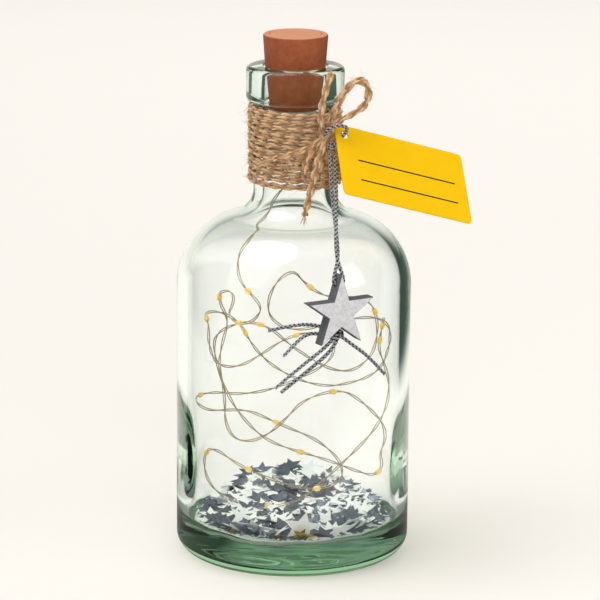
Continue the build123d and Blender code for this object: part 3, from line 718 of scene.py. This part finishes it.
# Glass bottle, inside and outside in one outline
bottleShape = {
    "radius": 39.0, "wall": 3.5, "base": 10.5, "heel": 6.5, "floorRound": 4.5, "cylinderTop": 92.0,
    "shoulder": 24.0, "neck": 13.6, "neckFillet": 9.0, "bore": 10.1, "throatFillet": 12.0, "height": 165.0,
    "lip": 16.2, "lipLow": 153.5, "lipRound": 1.5, "lipUnder": 1.4, "rim": 1.0, "steps": 160,
}
# Pressed glass is uneven: its foot, its inner floor, and its walls, which thicken low down at both sides
glassWaves = {
    "size": 10.0, "foot": 1.6, "footRoom": 31.0, "footFade": 4.0, "floor": 0.9, "left": 2.9, "right": 1.7,
    "low": 19.0, "peak": 31.0, "high": 54.0, "sideFrom": 0.85, "swell": 0.15,
}
glassLook = {"bending": 1.5, "tint": (0.05, 0.60, 0.14), "density": 16.0, "shade": (0.90, 0.885, 0.865)}


def shoulderArcs(arc, tube, fillet):
    # The shoulder's arc and the hollow one that carries it into a tube's side
    b = bottleShape
    centre = b["radius"] - b["shoulder"]
    reach = tube + fillet - centre
    rise = math.sqrt((arc + fillet) ** 2 - reach**2)
    lean = math.degrees(math.atan2(rise, reach))
    out = arcPoints((centre, b["cylinderTop"]), arc, 0, lean, 28)
    out += arcPoints((tube + fillet, b["cylinderTop"] + rise), fillet, lean + 180, 180, 10)[1:]
    return out


def bottleOutline():
    b = bottleShape
    inner = b["radius"] - b["wall"]
    outline = [(radius, 0) for radius in (*range(0, 30, 3), 29.5, b["radius"] - b["heel"] - 0.4)]
    outline += arcPoints((b["radius"] - b["heel"], b["heel"]), b["heel"], -90, 0, 12)
    outline += [(b["radius"], height) for height in (8, 20, 34, 48, 62, 76, 88)]
    outline += shoulderArcs(b["shoulder"], b["neck"], b["neckFillet"])
    outline += [(b["neck"], 130), (b["neck"], 142), (b["neck"], b["lipLow"] - 0.3), (b["neck"], b["lipLow"])]
    outline += [(b["lip"] - b["lipUnder"] - 0.05, b["lipLow"])]
    outline += arcPoints((b["lip"] - b["lipUnder"], b["lipLow"] + b["lipUnder"]), b["lipUnder"], -90, 0, 6)
    outline += arcPoints((b["lip"] - b["lipRound"], b["height"] - b["lipRound"]), b["lipRound"], 0, 90, 8)
    outline += arcPoints((b["bore"] + b["rim"], b["height"] - b["rim"]), b["rim"], 90, 180, 6)
    outline += [(b["bore"], height) for height in (158, 148, 138, 128)]
    outline += shoulderArcs(b["shoulder"] - b["wall"], b["bore"], b["throatFillet"])[::-1]
    outline += [(inner, height) for height in (88, 80, 72, 66, 61, *range(58, 36, -3), *range(35, 16, -2))]
    outline += arcPoints((inner - b["floorRound"], b["base"] + b["floorRound"]), b["floorRound"], 0, -90, 12)
    outline += [(29 - 2.5 * ring, b["base"]) for ring in range(11)] + [(2, b["base"]), (0, b["base"])]
    return outline


def unevenGlass(bm):
    b, w = bottleShape, glassWaves
    inner = b["radius"] - b["wall"]
    for vertex in bm.verts:
        x, y, z = vertex.co / mm
        radius = math.hypot(x, y)
        if z < 0.01:
            rough = 0.5 + 0.7 * noise.noise(Vector((x, 1.6 * y, 2.0)) / w["size"])
            fade = min(1.0, max(0.0, w["footRoom"] - radius) / w["footFade"])
            vertex.co.z = w["foot"] * max(0.0, rough) * fade * mm
        if z > b["base"] - 0.1 and radius < inner + 0.1 and z < b["cylinderTop"]:
            broad = noise.noise(Vector((x, y, 4.0)) / w["size"])
            fine = noise.noise(Vector((x, y, 9.0)) / (0.5 * w["size"]))
            low = max(0.0, 1 - (z - b["base"]) / b["floorRound"])
            vertex.co.z += w["floor"] * low * (broad + 0.6 * fine) * mm
            side = max(0.0, (abs(x) / max(radius, 1.0) - w["sideFrom"]) / (1 - w["sideFrom"]))
            side = side * side * (3 - 2 * side)
            span = w["peak"] - w["low"] if z < w["peak"] else w["high"] - w["peak"]
            rise = max(0.0, 1 - abs(z - w["peak"]) / span)
            swell = 1 + w["swell"] * noise.noise(Vector((x / 5, y / 5, z / 30)))
            inward = (w["left"] if x < 0 else w["right"]) * side * swell * rise
            if radius > inner - b["floorRound"]:
                vertex.co.xy *= 1 - inward / radius
    return bm


def makeGlass():
    # Clear through the wall, green where the light runs along the glass; shadow rays pass
    material, nodes, links, shader = newMaterial("bottleGlass")
    shader.inputs["Base Color"].default_value = (1, 1, 1, 1)
    shader.inputs["Roughness"].default_value = 0.0
    shader.inputs["IOR"].default_value = glassLook["bending"]
    shader.inputs["Transmission Weight"].default_value = 1.0
    tint = nodes.new("ShaderNodeVolumeAbsorption")
    tint.inputs["Color"].default_value = (*glassLook["tint"], 1)
    tint.inputs["Density"].default_value = glassLook["density"]
    out = nodes["Material Output"]
    links.new(tint.outputs["Volume"], out.inputs["Volume"])
    path = nodes.new("ShaderNodeLightPath")
    clear = nodes.new("ShaderNodeBsdfTransparent")
    clear.inputs["Color"].default_value = (*glassLook["shade"], 1)
    mix = nodes.new("ShaderNodeMixShader")
    links.new(path.outputs["Is Shadow Ray"], mix.inputs["Fac"])
    links.new(shader.outputs["BSDF"], mix.inputs[1])
    links.new(clear.outputs["BSDF"], mix.inputs[2])
    links.new(mix.outputs["Shader"], out.inputs["Surface"])
    return material


bottleGlass = unevenGlass(lathe(bottleOutline(), bottleShape["steps"]))
shapePiece("bottleGlass", bottleGlass, [makeGlass()], "bottle", "glass", "bottle")
print("bottle blown")


# Stopper: rubber-like sleeve with the twist cap set into its top
stopperShape = {
    "foot": (8.1, 151.0), "mouth": (10.0, 165.0), "top": (10.7, 175.6), "edge": 0.8, "footEdge": 0.3,
    "tube": 7.05, "pocket": 8.6, "pocketFloor": 171.55, "pocketEdge": 0.15, "cap": 8.5, "capEdge": 0.4,
    "capGap": 0.05, "plug": 5.7, "plugLow": 165.05, "lug": (1.6, 2.4, 1.2), "lugReach": 5.65,
    "lugHeight": 167.35, "steps": 96,
}
# Painted highlight on the stopper's top: colour, share and fade of the paler paint
stopperTopLight = {"colour": (0.90, 0.40, 0.22), "share": 0.72, "fade": (0.5, 0.1)}
stopperFinish = mottledMaterial(
    "stopperRubber", (0.25, 0.052, 0.013), (0.45, 0.118, 0.036), 420, 0.55, roughness=0.6, bump=0.35,
    bumpDepth=0.0003)


def paintTopLight(material, height):
    # Painted highlight: the level top is painted paler, standing in for the light and sheen that fall on it
    # from above
    tree = material.node_tree
    shader = tree.nodes["Principled BSDF"]
    below = shader.inputs["Base Color"].links[0].from_socket
    apart = placeNodes(tree)[1]
    rise = stepNode(tree, apart["Z"], [(height - drop) * mm for drop in stopperTopLight["fade"]])
    share = mathNode(tree, "MULTIPLY", rise, stopperTopLight["share"])
    tree.links.new(blendNode(tree, share, below, stopperTopLight["colour"]), shader.inputs["Base Color"])


paintTopLight(stopperFinish, stopperShape["top"][1])


def stopperOutline():
    s = stopperShape
    width, top = s["top"]
    foot, low = s["foot"]
    outline = [(s["tube"], low), (foot - s["footEdge"], low), (foot, low + s["footEdge"]), s["mouth"]]
    outline += arcPoints((width - s["edge"], top - s["edge"]), s["edge"], 4, 90, 8)
    outline += [(s["pocket"] + s["pocketEdge"], top), (s["pocket"], top - s["pocketEdge"])]
    return outline + [(s["pocket"], s["pocketFloor"]), (s["tube"], s["pocketFloor"])]


def capOutline():
    s = stopperShape
    top = s["top"][1]
    low = s["pocketFloor"] + s["capGap"]
    outline = [(0, s["plugLow"]), (s["plug"], s["plugLow"]), (s["plug"], low), (s["cap"], low)]
    outline += arcPoints((s["cap"] - s["capEdge"], top - s["capEdge"]), s["capEdge"], 0, 90, 6)
    return outline + [(5, top), (0, top)]


sleeveShape = lathe(stopperOutline(), stopperShape["steps"], True)
shapePiece("stopperSleeve", sleeveShape, [stopperFinish], "stopper", "stopper", "stopper_sleeve")
capShape = lathe(capOutline(), stopperShape["steps"])
for side in (-1, 1):
    lug = bmesh.ops.create_cube(capShape, size=1.0)["verts"]
    bmesh.ops.scale(capShape, verts=lug, vec=Vector(stopperShape["lug"]) * mm)
    place = Vector((side * stopperShape["lugReach"], 0, stopperShape["lugHeight"])) * mm
    bmesh.ops.translate(capShape, verts=lug, vec=place)
shapePiece("twistCap", capShape, [stopperFinish], "switch_cap", "stopper", "switch_cap")
print("stopper set")


# Foil stars, heaped up towards the back, some stood against the front of the glass
foilShape = {
    "thickness": 0.12, "waist": 0.45, "room": 33.6, "flat": 31.0, "floor": 10.9, "round": 4.5, "gap": 0.2,
    "front": (215, 325), "top": (0.85, 1.0), "low": 0.55, "inset": 0.75, "lean": 0.3, "rest": 0.8,
    "turn": 14, "level": 0.85, "shadeFrom": -17, "seed": 23,
}
heapShape = {"least": 1.0, "heap": 9.3, "half": 33.0, "middle": -2.0, "from": -12.0, "run": 45.0, "bend": 1.3}
foilLuck = random.Random(foilShape["seed"])
# Silver foil as painted reflections: a bright matt finish stands in for lamps mirrored in the foil, a dark
# one for the dark room mirrored in it; the third is real metal
foilMetalAndPaintedReflections = [
    mottledMaterial("paintedBrightReflection", (0.90, 0.92, 0.96), (1.0, 1.0, 1.0), 120, 0.2, roughness=0.4),
    mottledMaterial("paintedDarkReflection", (0.09, 0.105, 0.14), (0.19, 0.22, 0.28), 120, 0.2, roughness=0.3,
                    metallic=0.5),
    mottledMaterial("silverFoil", (0.50, 0.54, 0.63), (0.74, 0.78, 0.86), 120, 0.2, roughness=0.2,
                    metallic=1.0),
]
goldFinish = mottledMaterial("goldFoil", (0.86, 0.53, 0.05), (1.0, 0.78, 0.18), 120, 0.2, roughness=0.16,
                             metallic=1.0, bump=0.12, bumpDepth=0.0004)


def floorHeight(radius):
    over = min(max(radius - foilShape["flat"], 0.0), foilShape["round"] * 0.97)
    return foilShape["floor"] + foilShape["round"] - math.sqrt(foilShape["round"] ** 2 - over**2)


def heapHeight(x, y):
    # A thin layer at the front and the sides, deepest in the middle of the back
    h = heapShape
    across = math.sqrt(max(0.0, 1 - ((x - h["middle"]) / h["half"]) ** 2))
    return h["least"] + h["heap"] * across * max(0.0, (y - h["from"]) / h["run"]) ** h["bend"]


def heaped(count, low, high, tilt, lean, onTop=False, front=False):
    # Lying stars: radius, centre and turn
    places = []
    for index in range(count):
        radius = foilLuck.uniform(low, high)
        reach = (foilShape["room"] - foilShape["inset"] * radius) * math.sqrt(foilLuck.random())
        if front:
            angle = math.radians(foilLuck.uniform(*foilShape["front"]))
        else:
            angle = foilLuck.uniform(0, math.tau)
        centre = Vector((reach * math.cos(angle), reach * math.sin(angle), 0))
        share = foilLuck.uniform(*foilShape["top"]) if onTop else foilLuck.random() ** foilShape["low"]
        centre.z = floorHeight(reach) + foilShape["gap"] + heapHeight(centre.x, centre.y) * share
        spin = Matrix.Rotation(foilLuck.uniform(0, math.tau), 4, "Z")
        axis = Vector((foilLuck.uniform(-1, 1), foilLuck.uniform(-1, 1), 0.001)).normalized()
        sway = Matrix.Rotation(math.radians(foilLuck.gauss(0, tilt)), 4, axis)
        places.append((radius, centre, Matrix.Rotation(math.radians(lean), 4, "X") @ sway @ spin))
    return places


def stood(spots):
    # Stars that lean on the glass: radius, place round the bottle in degrees, tilt from the floor
    places = []
    for radius, degrees, tilt in spots:
        out = Vector((math.cos(math.radians(degrees)), math.sin(math.radians(degrees)), 0))
        rise = math.radians(tilt)
        reach = foilShape["room"] - foilShape["lean"] - radius * math.cos(rise)
        height = foilShape["floor"] + foilShape["rest"] * radius * math.sin(rise)
        centre = out * reach + Vector((0, 0, height))
        turned = degrees + foilLuck.uniform(-foilShape["turn"], foilShape["turn"])
        spin = Matrix.Rotation(math.radians(turned), 4, "Z")
        places.append((radius, centre, Matrix.Rotation(rise, 4, out.cross(Vector((0, 0, 1)))) @ spin))
    return places


def foilStars(places, reflectionPicks):
    bm = bmesh.new()
    for radius, centre, turn in places:
        made = bmesh.ops.create_circle(bm, cap_ends=True, segments=10, radius=radius)["verts"]
        if reflectionPicks:
            # Painted reflection: stars lying low at the front mostly get the dark finish, standing in for the
            # dark room they mirror; the others pick from the finishes given, the bright one standing in for
            # mirrored lamps
            level = (turn @ Vector((0, 0, 1))).z > foilShape["level"]
            lying = level and centre.y < foilShape["shadeFrom"]
            made[0].link_faces[0].material_index = foilLuck.choice((1, 1, 1, 0) if lying else reflectionPicks)
        bmesh.ops.scale(bm, verts=made[1::2], vec=(foilShape["waist"],) * 3)
        bmesh.ops.transform(bm, verts=made, matrix=Matrix.Translation(centre) @ turn)
        for tries in range(3):
            far = max(math.hypot(vertex.co.x, vertex.co.y) for vertex in made)
            if far > foilShape["room"]:
                inward = Vector((centre.x, centre.y, 0)).normalized() * (foilShape["room"] - far)
                bmesh.ops.translate(bm, verts=made, vec=inward)
        levels = [floorHeight(math.hypot(vertex.co.x, vertex.co.y)) for vertex in made]
        lift = max(level + foilShape["gap"] - vertex.co.z for level, vertex in zip(levels, made))
        if lift > 0:
            bmesh.ops.translate(bm, verts=made, vec=(0, 0, lift))
    bmesh.ops.scale(bm, verts=bm.verts, vec=(mm, mm, mm))
    bmesh.ops.solidify(bm, geom=bm.faces[:], thickness=foilShape["thickness"] * mm)
    bmesh.ops.recalc_face_normals(bm, faces=bm.faces)
    return bm


smallStood = []
for index in range(13):
    radius = foilLuck.uniform(4.1, 4.6)
    degrees = 214 + 9.4 * index + foilLuck.uniform(-2, 2)
    smallStood.append((radius, degrees, foilLuck.uniform(36, 62)))
smallStood = [spot for spot in smallStood if abs(spot[1] - 277) > 16]  # room for the large one at the front
smallPlaces = heaped(430, 4.0, 4.7, tilt=15, lean=9) + heaped(170, 4.0, 4.7, tilt=13, lean=17, onTop=True)
smallStars = foilStars(smallPlaces + stood(smallStood), (0, 0, 1, 1, 2))
shapePiece("foilSmall", smallStars, foilMetalAndPaintedReflections, "bottle", "foil", "confetti_small", smooth=False)
largePlaces = heaped(14, 6.6, 7.4, tilt=8, lean=14, onTop=True)
largePlaces += stood([(6.6, 276, 66), (6.2, 246, 44), (6.4, 312, 40)])
largeStars = foilStars(largePlaces, (0, 0, 0, 2))
shapePiece("foilLarge", largeStars, foilMetalAndPaintedReflections, "bottle", "foil", "confetti_large", smooth=False)
goldPlaces = heaped(6, 3.0, 3.6, tilt=10, lean=14, onTop=True, front=True)
goldPlaces += stood([(3.3, 275, 66), (3.2, 280, 40), (3.0, 262, 44)])
goldStars = foilStars(goldPlaces, None)
shapePiece("foilGold", goldStars, [goldFinish], "bottle", "gold_foil", "confetti_gold", smooth=False)
print("foil stars heaped")


# Hanging star: pale glittered faces, grey sides
starGlitter = mottledMaterial("starGlitter", (0.52, 0.53, 0.60), (1.0, 1.0, 1.0), 800, 0.6, roughness=0.4,
                              metallic=0.1, bump=0.5)
starWood = mottledMaterial("starWood", (0.07, 0.07, 0.078), (0.17, 0.17, 0.185), 500, 0.6,
                           stretch=(1, 1, 3), roughness=0.7, bump=0.4)


def makeStar():
    s = starFrame
    bm = bmesh.new()
    points = bmesh.ops.create_circle(bm, cap_ends=True, segments=10, radius=s["radius"] * mm)["verts"]
    bmesh.ops.scale(bm, verts=points[1::2], vec=(s["waist"] / s["radius"],) * 3)
    up = max(points[0::2], key=lambda vertex: vertex.co.y)
    spare = math.pi / 2 - math.atan2(up.co.y, up.co.x)
    bmesh.ops.rotate(bm, verts=points, cent=(0, 0, 0), matrix=Matrix.Rotation(spare, 3, "Z"))
    bmesh.ops.translate(bm, verts=points, vec=(0, 0, -s["thickness"] / 2 * mm))
    grown = bmesh.ops.extrude_face_region(bm, geom=bm.faces[:])["geom"]
    raised = [part for part in grown if isinstance(part, bmesh.types.BMVert)]
    bmesh.ops.translate(bm, verts=raised, vec=(0, 0, s["thickness"] * mm))
    bmesh.ops.recalc_face_normals(bm, faces=bm.faces)
    bmesh.ops.bevel(bm, geom=bm.edges[:], offset=s["edge"] * mm, offset_type="OFFSET", segments=3,
                    profile=0.5, affect="EDGES", material=-1)
    frameOut = Matrix((
        (faceSide.x, 0, faceOut.x, starOut.x * s["out"] * mm),
        (faceSide.y, 0, faceOut.y, starOut.y * s["out"] * mm),
        (0, 1, 0, s["height"] * mm),
        (0, 0, 0, 1)))
    for face in bm.faces:
        face.material_index = 0 if abs(face.normal.z) > 0.9 else 1
    bmesh.ops.transform(bm, verts=bm.verts, matrix=frameOut)
    mesh = meshFrom(bm, "star")
    mesh.materials.append(starGlitter)
    mesh.materials.append(starWood)
    return mesh


def drilled(mesh, place, way, radius, length):
    # A round hole cut right through
    body = bpy.data.objects.new("drillBody", mesh)
    scene.collection.objects.link(body)
    bm = bmesh.new()
    bmesh.ops.create_cone(bm, cap_ends=True, segments=24, radius1=radius, radius2=radius, depth=length)
    turn = way.to_track_quat("Z", "Y").to_matrix().to_4x4()
    bmesh.ops.transform(bm, verts=bm.verts, matrix=Matrix.Translation(place) @ turn)
    for face in bm.faces:
        face.material_index = 1
    drill = bpy.data.objects.new("drill", meshFrom(bm, "drill"))
    for material in mesh.materials:
        drill.data.materials.append(material)
    scene.collection.objects.link(drill)
    cut = body.modifiers.new("cut", "BOOLEAN")
    cut.object = drill
    cut.operation = "DIFFERENCE"
    cut.solver = "EXACT"
    bpy.context.view_layer.update()
    result = bpy.data.meshes.new_from_object(body.evaluated_get(bpy.context.evaluated_depsgraph_get()))
    for spare in (body, drill):
        bpy.data.objects.remove(spare)
    return result


starMesh = drilled(makeStar(), holePlace * mm, faceSide, starFrame["hole"] / 2 * mm, 0.02)
newPiece("hangingStar", starMesh, [starGlitter, starWood], "pendant", "star", "star")
print("star cut")


# Card tag: yellow card with two ruled writing lines
cardLook = {
    "low": (0.92, 0.53, 0.002), "high": (0.96, 0.58, 0.004), "ink": (0.010, 0.012, 0.030),
    "lines": (-9.2, -17.0), "lineHalf": 0.28, "lineMiddle": 22.5, "lineReach": 18.5, "face": 0.25,
    "faceHalf": 0.1,
}


def makeCard():
    material = mottledMaterial("yellowCard", cardLook["low"], cardLook["high"], 180, 0.5, roughness=0.75,
                               bump=0.08, bumpDepth=0.0001)
    tree = material.node_tree
    shader = tree.nodes["Principled BSDF"]
    shader.inputs["Specular IOR Level"].default_value = 0.1
    card = shader.inputs["Base Color"].links[0].from_socket
    # The ruled lines lie in the tag's own frame
    place = tree.nodes.new("ShaderNodeTexCoord")
    turn = tree.nodes.new("ShaderNodeMapping")
    turn.vector_type = "TEXTURE"
    turn.inputs["Location"].default_value = Vector(tagFrame["hole"]) * mm
    turn.inputs["Rotation"].default_value = Matrix((tagLong, tagUp, tagOut)).transposed().to_euler()
    tree.links.new(place.outputs["Object"], turn.inputs["Vector"])
    apart = tree.nodes.new("ShaderNodeSeparateXYZ")
    tree.links.new(turn.outputs["Vector"], apart.inputs["Vector"])

    def within(axis, middle, half):
        return mathNode(tree, "COMPARE", apart.outputs[axis], middle * mm, half * mm)

    inked = mathNode(tree, "ADD", *[within("Y", row, cardLook["lineHalf"]) for row in cardLook["lines"]])
    along = within("X", cardLook["lineMiddle"], cardLook["lineReach"])
    inked = mathNode(tree, "MULTIPLY", inked, along)
    inked = mathNode(tree, "MULTIPLY", inked, within("Z", cardLook["face"], cardLook["faceHalf"]))
    tree.links.new(blendNode(tree, inked, card, cardLook["ink"]), shader.inputs["Base Color"])
    return material


def finishNode(node, material):
    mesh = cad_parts[node].data
    mesh.materials.clear()
    mesh.materials.append(material)


finishNode("tag", makeCard())

# Pieces inside the stopper keep their solids
plasticFinish = mottledMaterial("paleMoulding", (0.66, 0.65, 0.61), (0.74, 0.73, 0.70), 400, 0.3,
                                roughness=0.5, bump=0.05)
brassFinish = mottledMaterial("stampedBrass", (0.60, 0.42, 0.16), (0.78, 0.58, 0.26), 600, 0.5,
                              roughness=0.3, metallic=1.0)
steelFinish = mottledMaterial("cellSteel", (0.52, 0.52, 0.54), (0.68, 0.68, 0.70), 500, 0.5,
                              stretch=(1, 1, 4), roughness=0.28, metallic=1.0)
boardFinish = mottledMaterial("boardGreen", (0.02, 0.10, 0.05), (0.03, 0.15, 0.07), 800, 0.4, roughness=0.4)
darkFinish = mottledMaterial("darkMoulding", (0.012, 0.012, 0.013), (0.03, 0.03, 0.032), 900, 0.4,
                             roughness=0.55)
for names, material in (
    (("battery_tube", "wire_gland"), plasticFinish),
    (("cap_contact", "contact_strip"), brassFinish),
    (("contact_spring", "cell_bottom", "cell_middle", "cell_top"), steelFinish),
    (("driver_board",), boardFinish),
    (("resistor", "cap_seal"), darkFinish),
):
    for name in names:
        finishNode(name, material)
print("inner pieces finished")


# Pale floor, soft lamps and a studio world
studio = {
    "pale": (0.965, 0.925, 0.868), "through": (1.0, 0.90, 0.97), "floorBase": (0.82, 0.78, 0.72),
    "floorGlow": 0.14, "floorThrough": 0.21, "floorLow": 0.0003,
}
# Where mirrored light sees the floor end, and the bottle's own shade on it
sweep = {
    "left": (1.19, 1.54), "right": (0.06, 0.22), "from": 0.037, "near": 0.05, "slant": 0.64,
    "far": (0.25, 0.33), "front": (-0.22, -0.08), "ownShade": (0.09, 0.15), "shadeDepth": 0.75,
    "beyond": (0.055, 0.08, 0.065),
}
# The room that mirrored light sees, and where each part of it begins
room = {
    "front": (0.13, 0.14, 0.155), "back": (0.93, 0.89, 0.83), "backFrom": (-0.1, 0.4),
    "half": (0.46, 0.47, 0.46), "halfFrom": (0.19, 0.27), "ceiling": (0.17, 0.19, 0.235),
    "ceilingFrom": (0.28, 0.7), "leftSide": (0.12, 0.14, 0.125), "leftFrom": (0.62, 0.85),
    "rightSide": (0.045, 0.065, 0.052), "rightFrom": (0.22, 0.5), "ambient": (0.33, 0.32505, 0.3168),
}


def makeFloor():
    # Glows a little where it is seen; mirrored light sees it end at the sides of the sweep
    material, nodes, links, shader = newMaterial("paleFloor")
    tree = material.node_tree
    nodes.remove(shader)
    path = nodes.new("ShaderNodeLightPath").outputs
    passing = path["Is Transmission Ray"]
    sharp = mathNode(tree, "MAXIMUM", path["Is Glossy Ray"], passing)
    seen = mathNode(tree, "MAXIMUM", path["Is Camera Ray"], sharp)
    place, apart = placeNodes(tree)
    depth = mathNode(tree, "MAXIMUM", apart["Y"], sweep["near"])
    ends = []
    for side, limits in ((1.0, sweep["right"]), (-1.0, sweep["left"])):
        out = mathNode(tree, "SUBTRACT", mathNode(tree, "MULTIPLY", apart["X"], side), sweep["from"])
        ends.append(stepNode(tree, mathNode(tree, "DIVIDE", out, depth), limits))
    # The right end runs slantwise, nearer further back
    slant = mathNode(tree, "ADD", mathNode(tree, "MULTIPLY", apart["Y"], sweep["slant"]), apart["X"])
    right = mathNode(tree, "MINIMUM", ends[0], stepNode(tree, slant, sweep["far"]))
    beyond = mathNode(tree, "MAXIMUM", right, ends[1])
    ahead = mathNode(tree, "SUBTRACT", 1.0, stepNode(tree, apart["Y"], sweep["front"]))
    beyond = mathNode(tree, "MAXIMUM", beyond, ahead)
    # Close to the bottle it lies in the bottle's own shade
    reach = nodes.new("ShaderNodeVectorMath")
    reach.operation = "LENGTH"
    links.new(place, reach.inputs[0])
    close = mathNode(tree, "SUBTRACT", 1.0, stepNode(tree, reach.outputs["Value"], sweep["ownShade"]))
    beyond = mathNode(tree, "MAXIMUM", beyond, mathNode(tree, "MULTIPLY", close, sweep["shadeDepth"]))
    mirrored = mathNode(tree, "MULTIPLY", mathNode(tree, "MINIMUM", path["Glossy Depth"], 1.0), sharp)
    beyond = mathNode(tree, "MULTIPLY", beyond, mirrored)
    glow = nodes.new("ShaderNodeEmission")
    links.new(blendNode(tree, passing, studio["pale"], studio["through"]), glow.inputs["Color"])
    through = mathNode(tree, "MULTIPLY", passing, studio["floorThrough"])
    links.new(mathNode(tree, "ADD", through, studio["floorGlow"]), glow.inputs["Strength"])
    faint = nodes.new("ShaderNodeBsdfDiffuse")
    faint.inputs["Color"].default_value = tuple(c * (1 - studio["floorGlow"]) for c in studio["pale"]) + (1,)
    plain = nodes.new("ShaderNodeBsdfDiffuse")
    plain.inputs["Color"].default_value = (*studio["floorBase"], 1)
    dark = nodes.new("ShaderNodeEmission")
    dark.inputs["Color"].default_value = (*sweep["beyond"], 1)
    both = nodes.new("ShaderNodeAddShader")
    links.new(glow.outputs[0], both.inputs[0])
    links.new(faint.outputs[0], both.inputs[1])
    last = plain.outputs[0]
    for share, shown in ((seen, both.outputs[0]), (beyond, dark.outputs[0])):
        mix = nodes.new("ShaderNodeMixShader")
        links.new(share, mix.inputs["Fac"])
        links.new(last, mix.inputs[1])
        links.new(shown, mix.inputs[2])
        last = mix.outputs[0]
    links.new(last, nodes["Material Output"].inputs["Surface"])
    return material


bm = bmesh.new()
bmesh.ops.create_grid(bm, x_segments=1, y_segments=1, size=4.0)
bmesh.ops.translate(bm, verts=bm.verts, vec=(0, 0, -studio["floorLow"]))
floor = bpy.data.objects.new("floor", meshFrom(bm, "floor"))
floor.data.materials.append(makeFloor())
scene.collection.objects.link(floor)


def aimed(place, aim):
    turn = (Vector(place) - Vector(aim)).to_track_quat("Z", "Y").to_matrix().to_4x4()
    return Matrix.Translation(place) @ turn


def softBox(name, place, aim, size, power, colour=(1, 1, 1), mirrored=True):
    light = bpy.data.lights.new(name, "AREA")
    light.shape = "RECTANGLE"
    light.size, light.size_y = size
    light.energy = power
    light.color = colour
    box = bpy.data.objects.new(name, light)
    box.matrix_world = aimed(place, aim)
    box.visible_glossy = box.visible_transmission = mirrored
    scene.collection.objects.link(box)


def softSun(name, place, strength, spread):
    light = bpy.data.lights.new(name, "SUN")
    light.energy = strength
    light.angle = math.radians(spread)
    sun = bpy.data.objects.new(name, light)
    sun.matrix_world = aimed(place, (0, 0, 0))
    scene.collection.objects.link(sun)


softSun("keySun", (-0.34, -0.12, 1.0), 1.3, 42)
softBox("keyBox", (-0.95, -0.75, 1.05), (0, 0, 0.09), (1.1, 1.3), 4, (1, 0.98, 0.95))
softBox("sideBox", (1.15, -0.55, 0.75), (0, 0, 0.09), (0.6, 0.8), 3)
softBox("frontBox", (0.35, -1.6, 0.85), (0, 0, 0.09), (1.2, 0.8), 9, mirrored=False)
softBox("backBox", (0.1, 1.2, 0.9), (0, 0, 0.08), (1.2, 0.7), 3, mirrored=False)


def makeWorld():
    # Even light for matt surfaces and a pale view, also straight through glass
    # Mirrored light sees a grey room
    world = bpy.data.worlds.new("studio")
    world.use_nodes = True
    tree = world.node_tree
    apart = placeNodes(tree, "Generated")[1]
    left = mathNode(tree, "MULTIPLY", apart["X"], -1.0)
    seen = blendNode(tree, stepNode(tree, left, room["leftFrom"]), room["back"], room["leftSide"])
    seen = blendNode(tree, stepNode(tree, apart["Z"], room["halfFrom"]), seen, room["half"])
    seen = blendNode(tree, stepNode(tree, apart["Y"], room["backFrom"]), room["front"], seen)
    seen = blendNode(tree, stepNode(tree, apart["Z"], room["ceilingFrom"]), seen, room["ceiling"])
    seen = blendNode(tree, stepNode(tree, apart["X"], room["rightFrom"]), seen, room["rightSide"])
    path = tree.nodes.new("ShaderNodeLightPath").outputs
    mirrored = mathNode(tree, "MINIMUM", path["Glossy Depth"], 1.0)
    plain = mathNode(tree, "SUBTRACT", 1.0, mirrored)
    straight = mathNode(tree, "MULTIPLY", path["Is Transmission Ray"], plain)
    seen = blendNode(tree, straight, seen, studio["pale"])
    seen = blendNode(tree, path["Is Diffuse Ray"], seen, room["ambient"])
    seen = blendNode(tree, path["Is Camera Ray"], seen, studio["pale"])
    tree.links.new(seen, tree.nodes["Background"].inputs["Color"])
    scene.world = world


makeWorld()
print("studio lit")
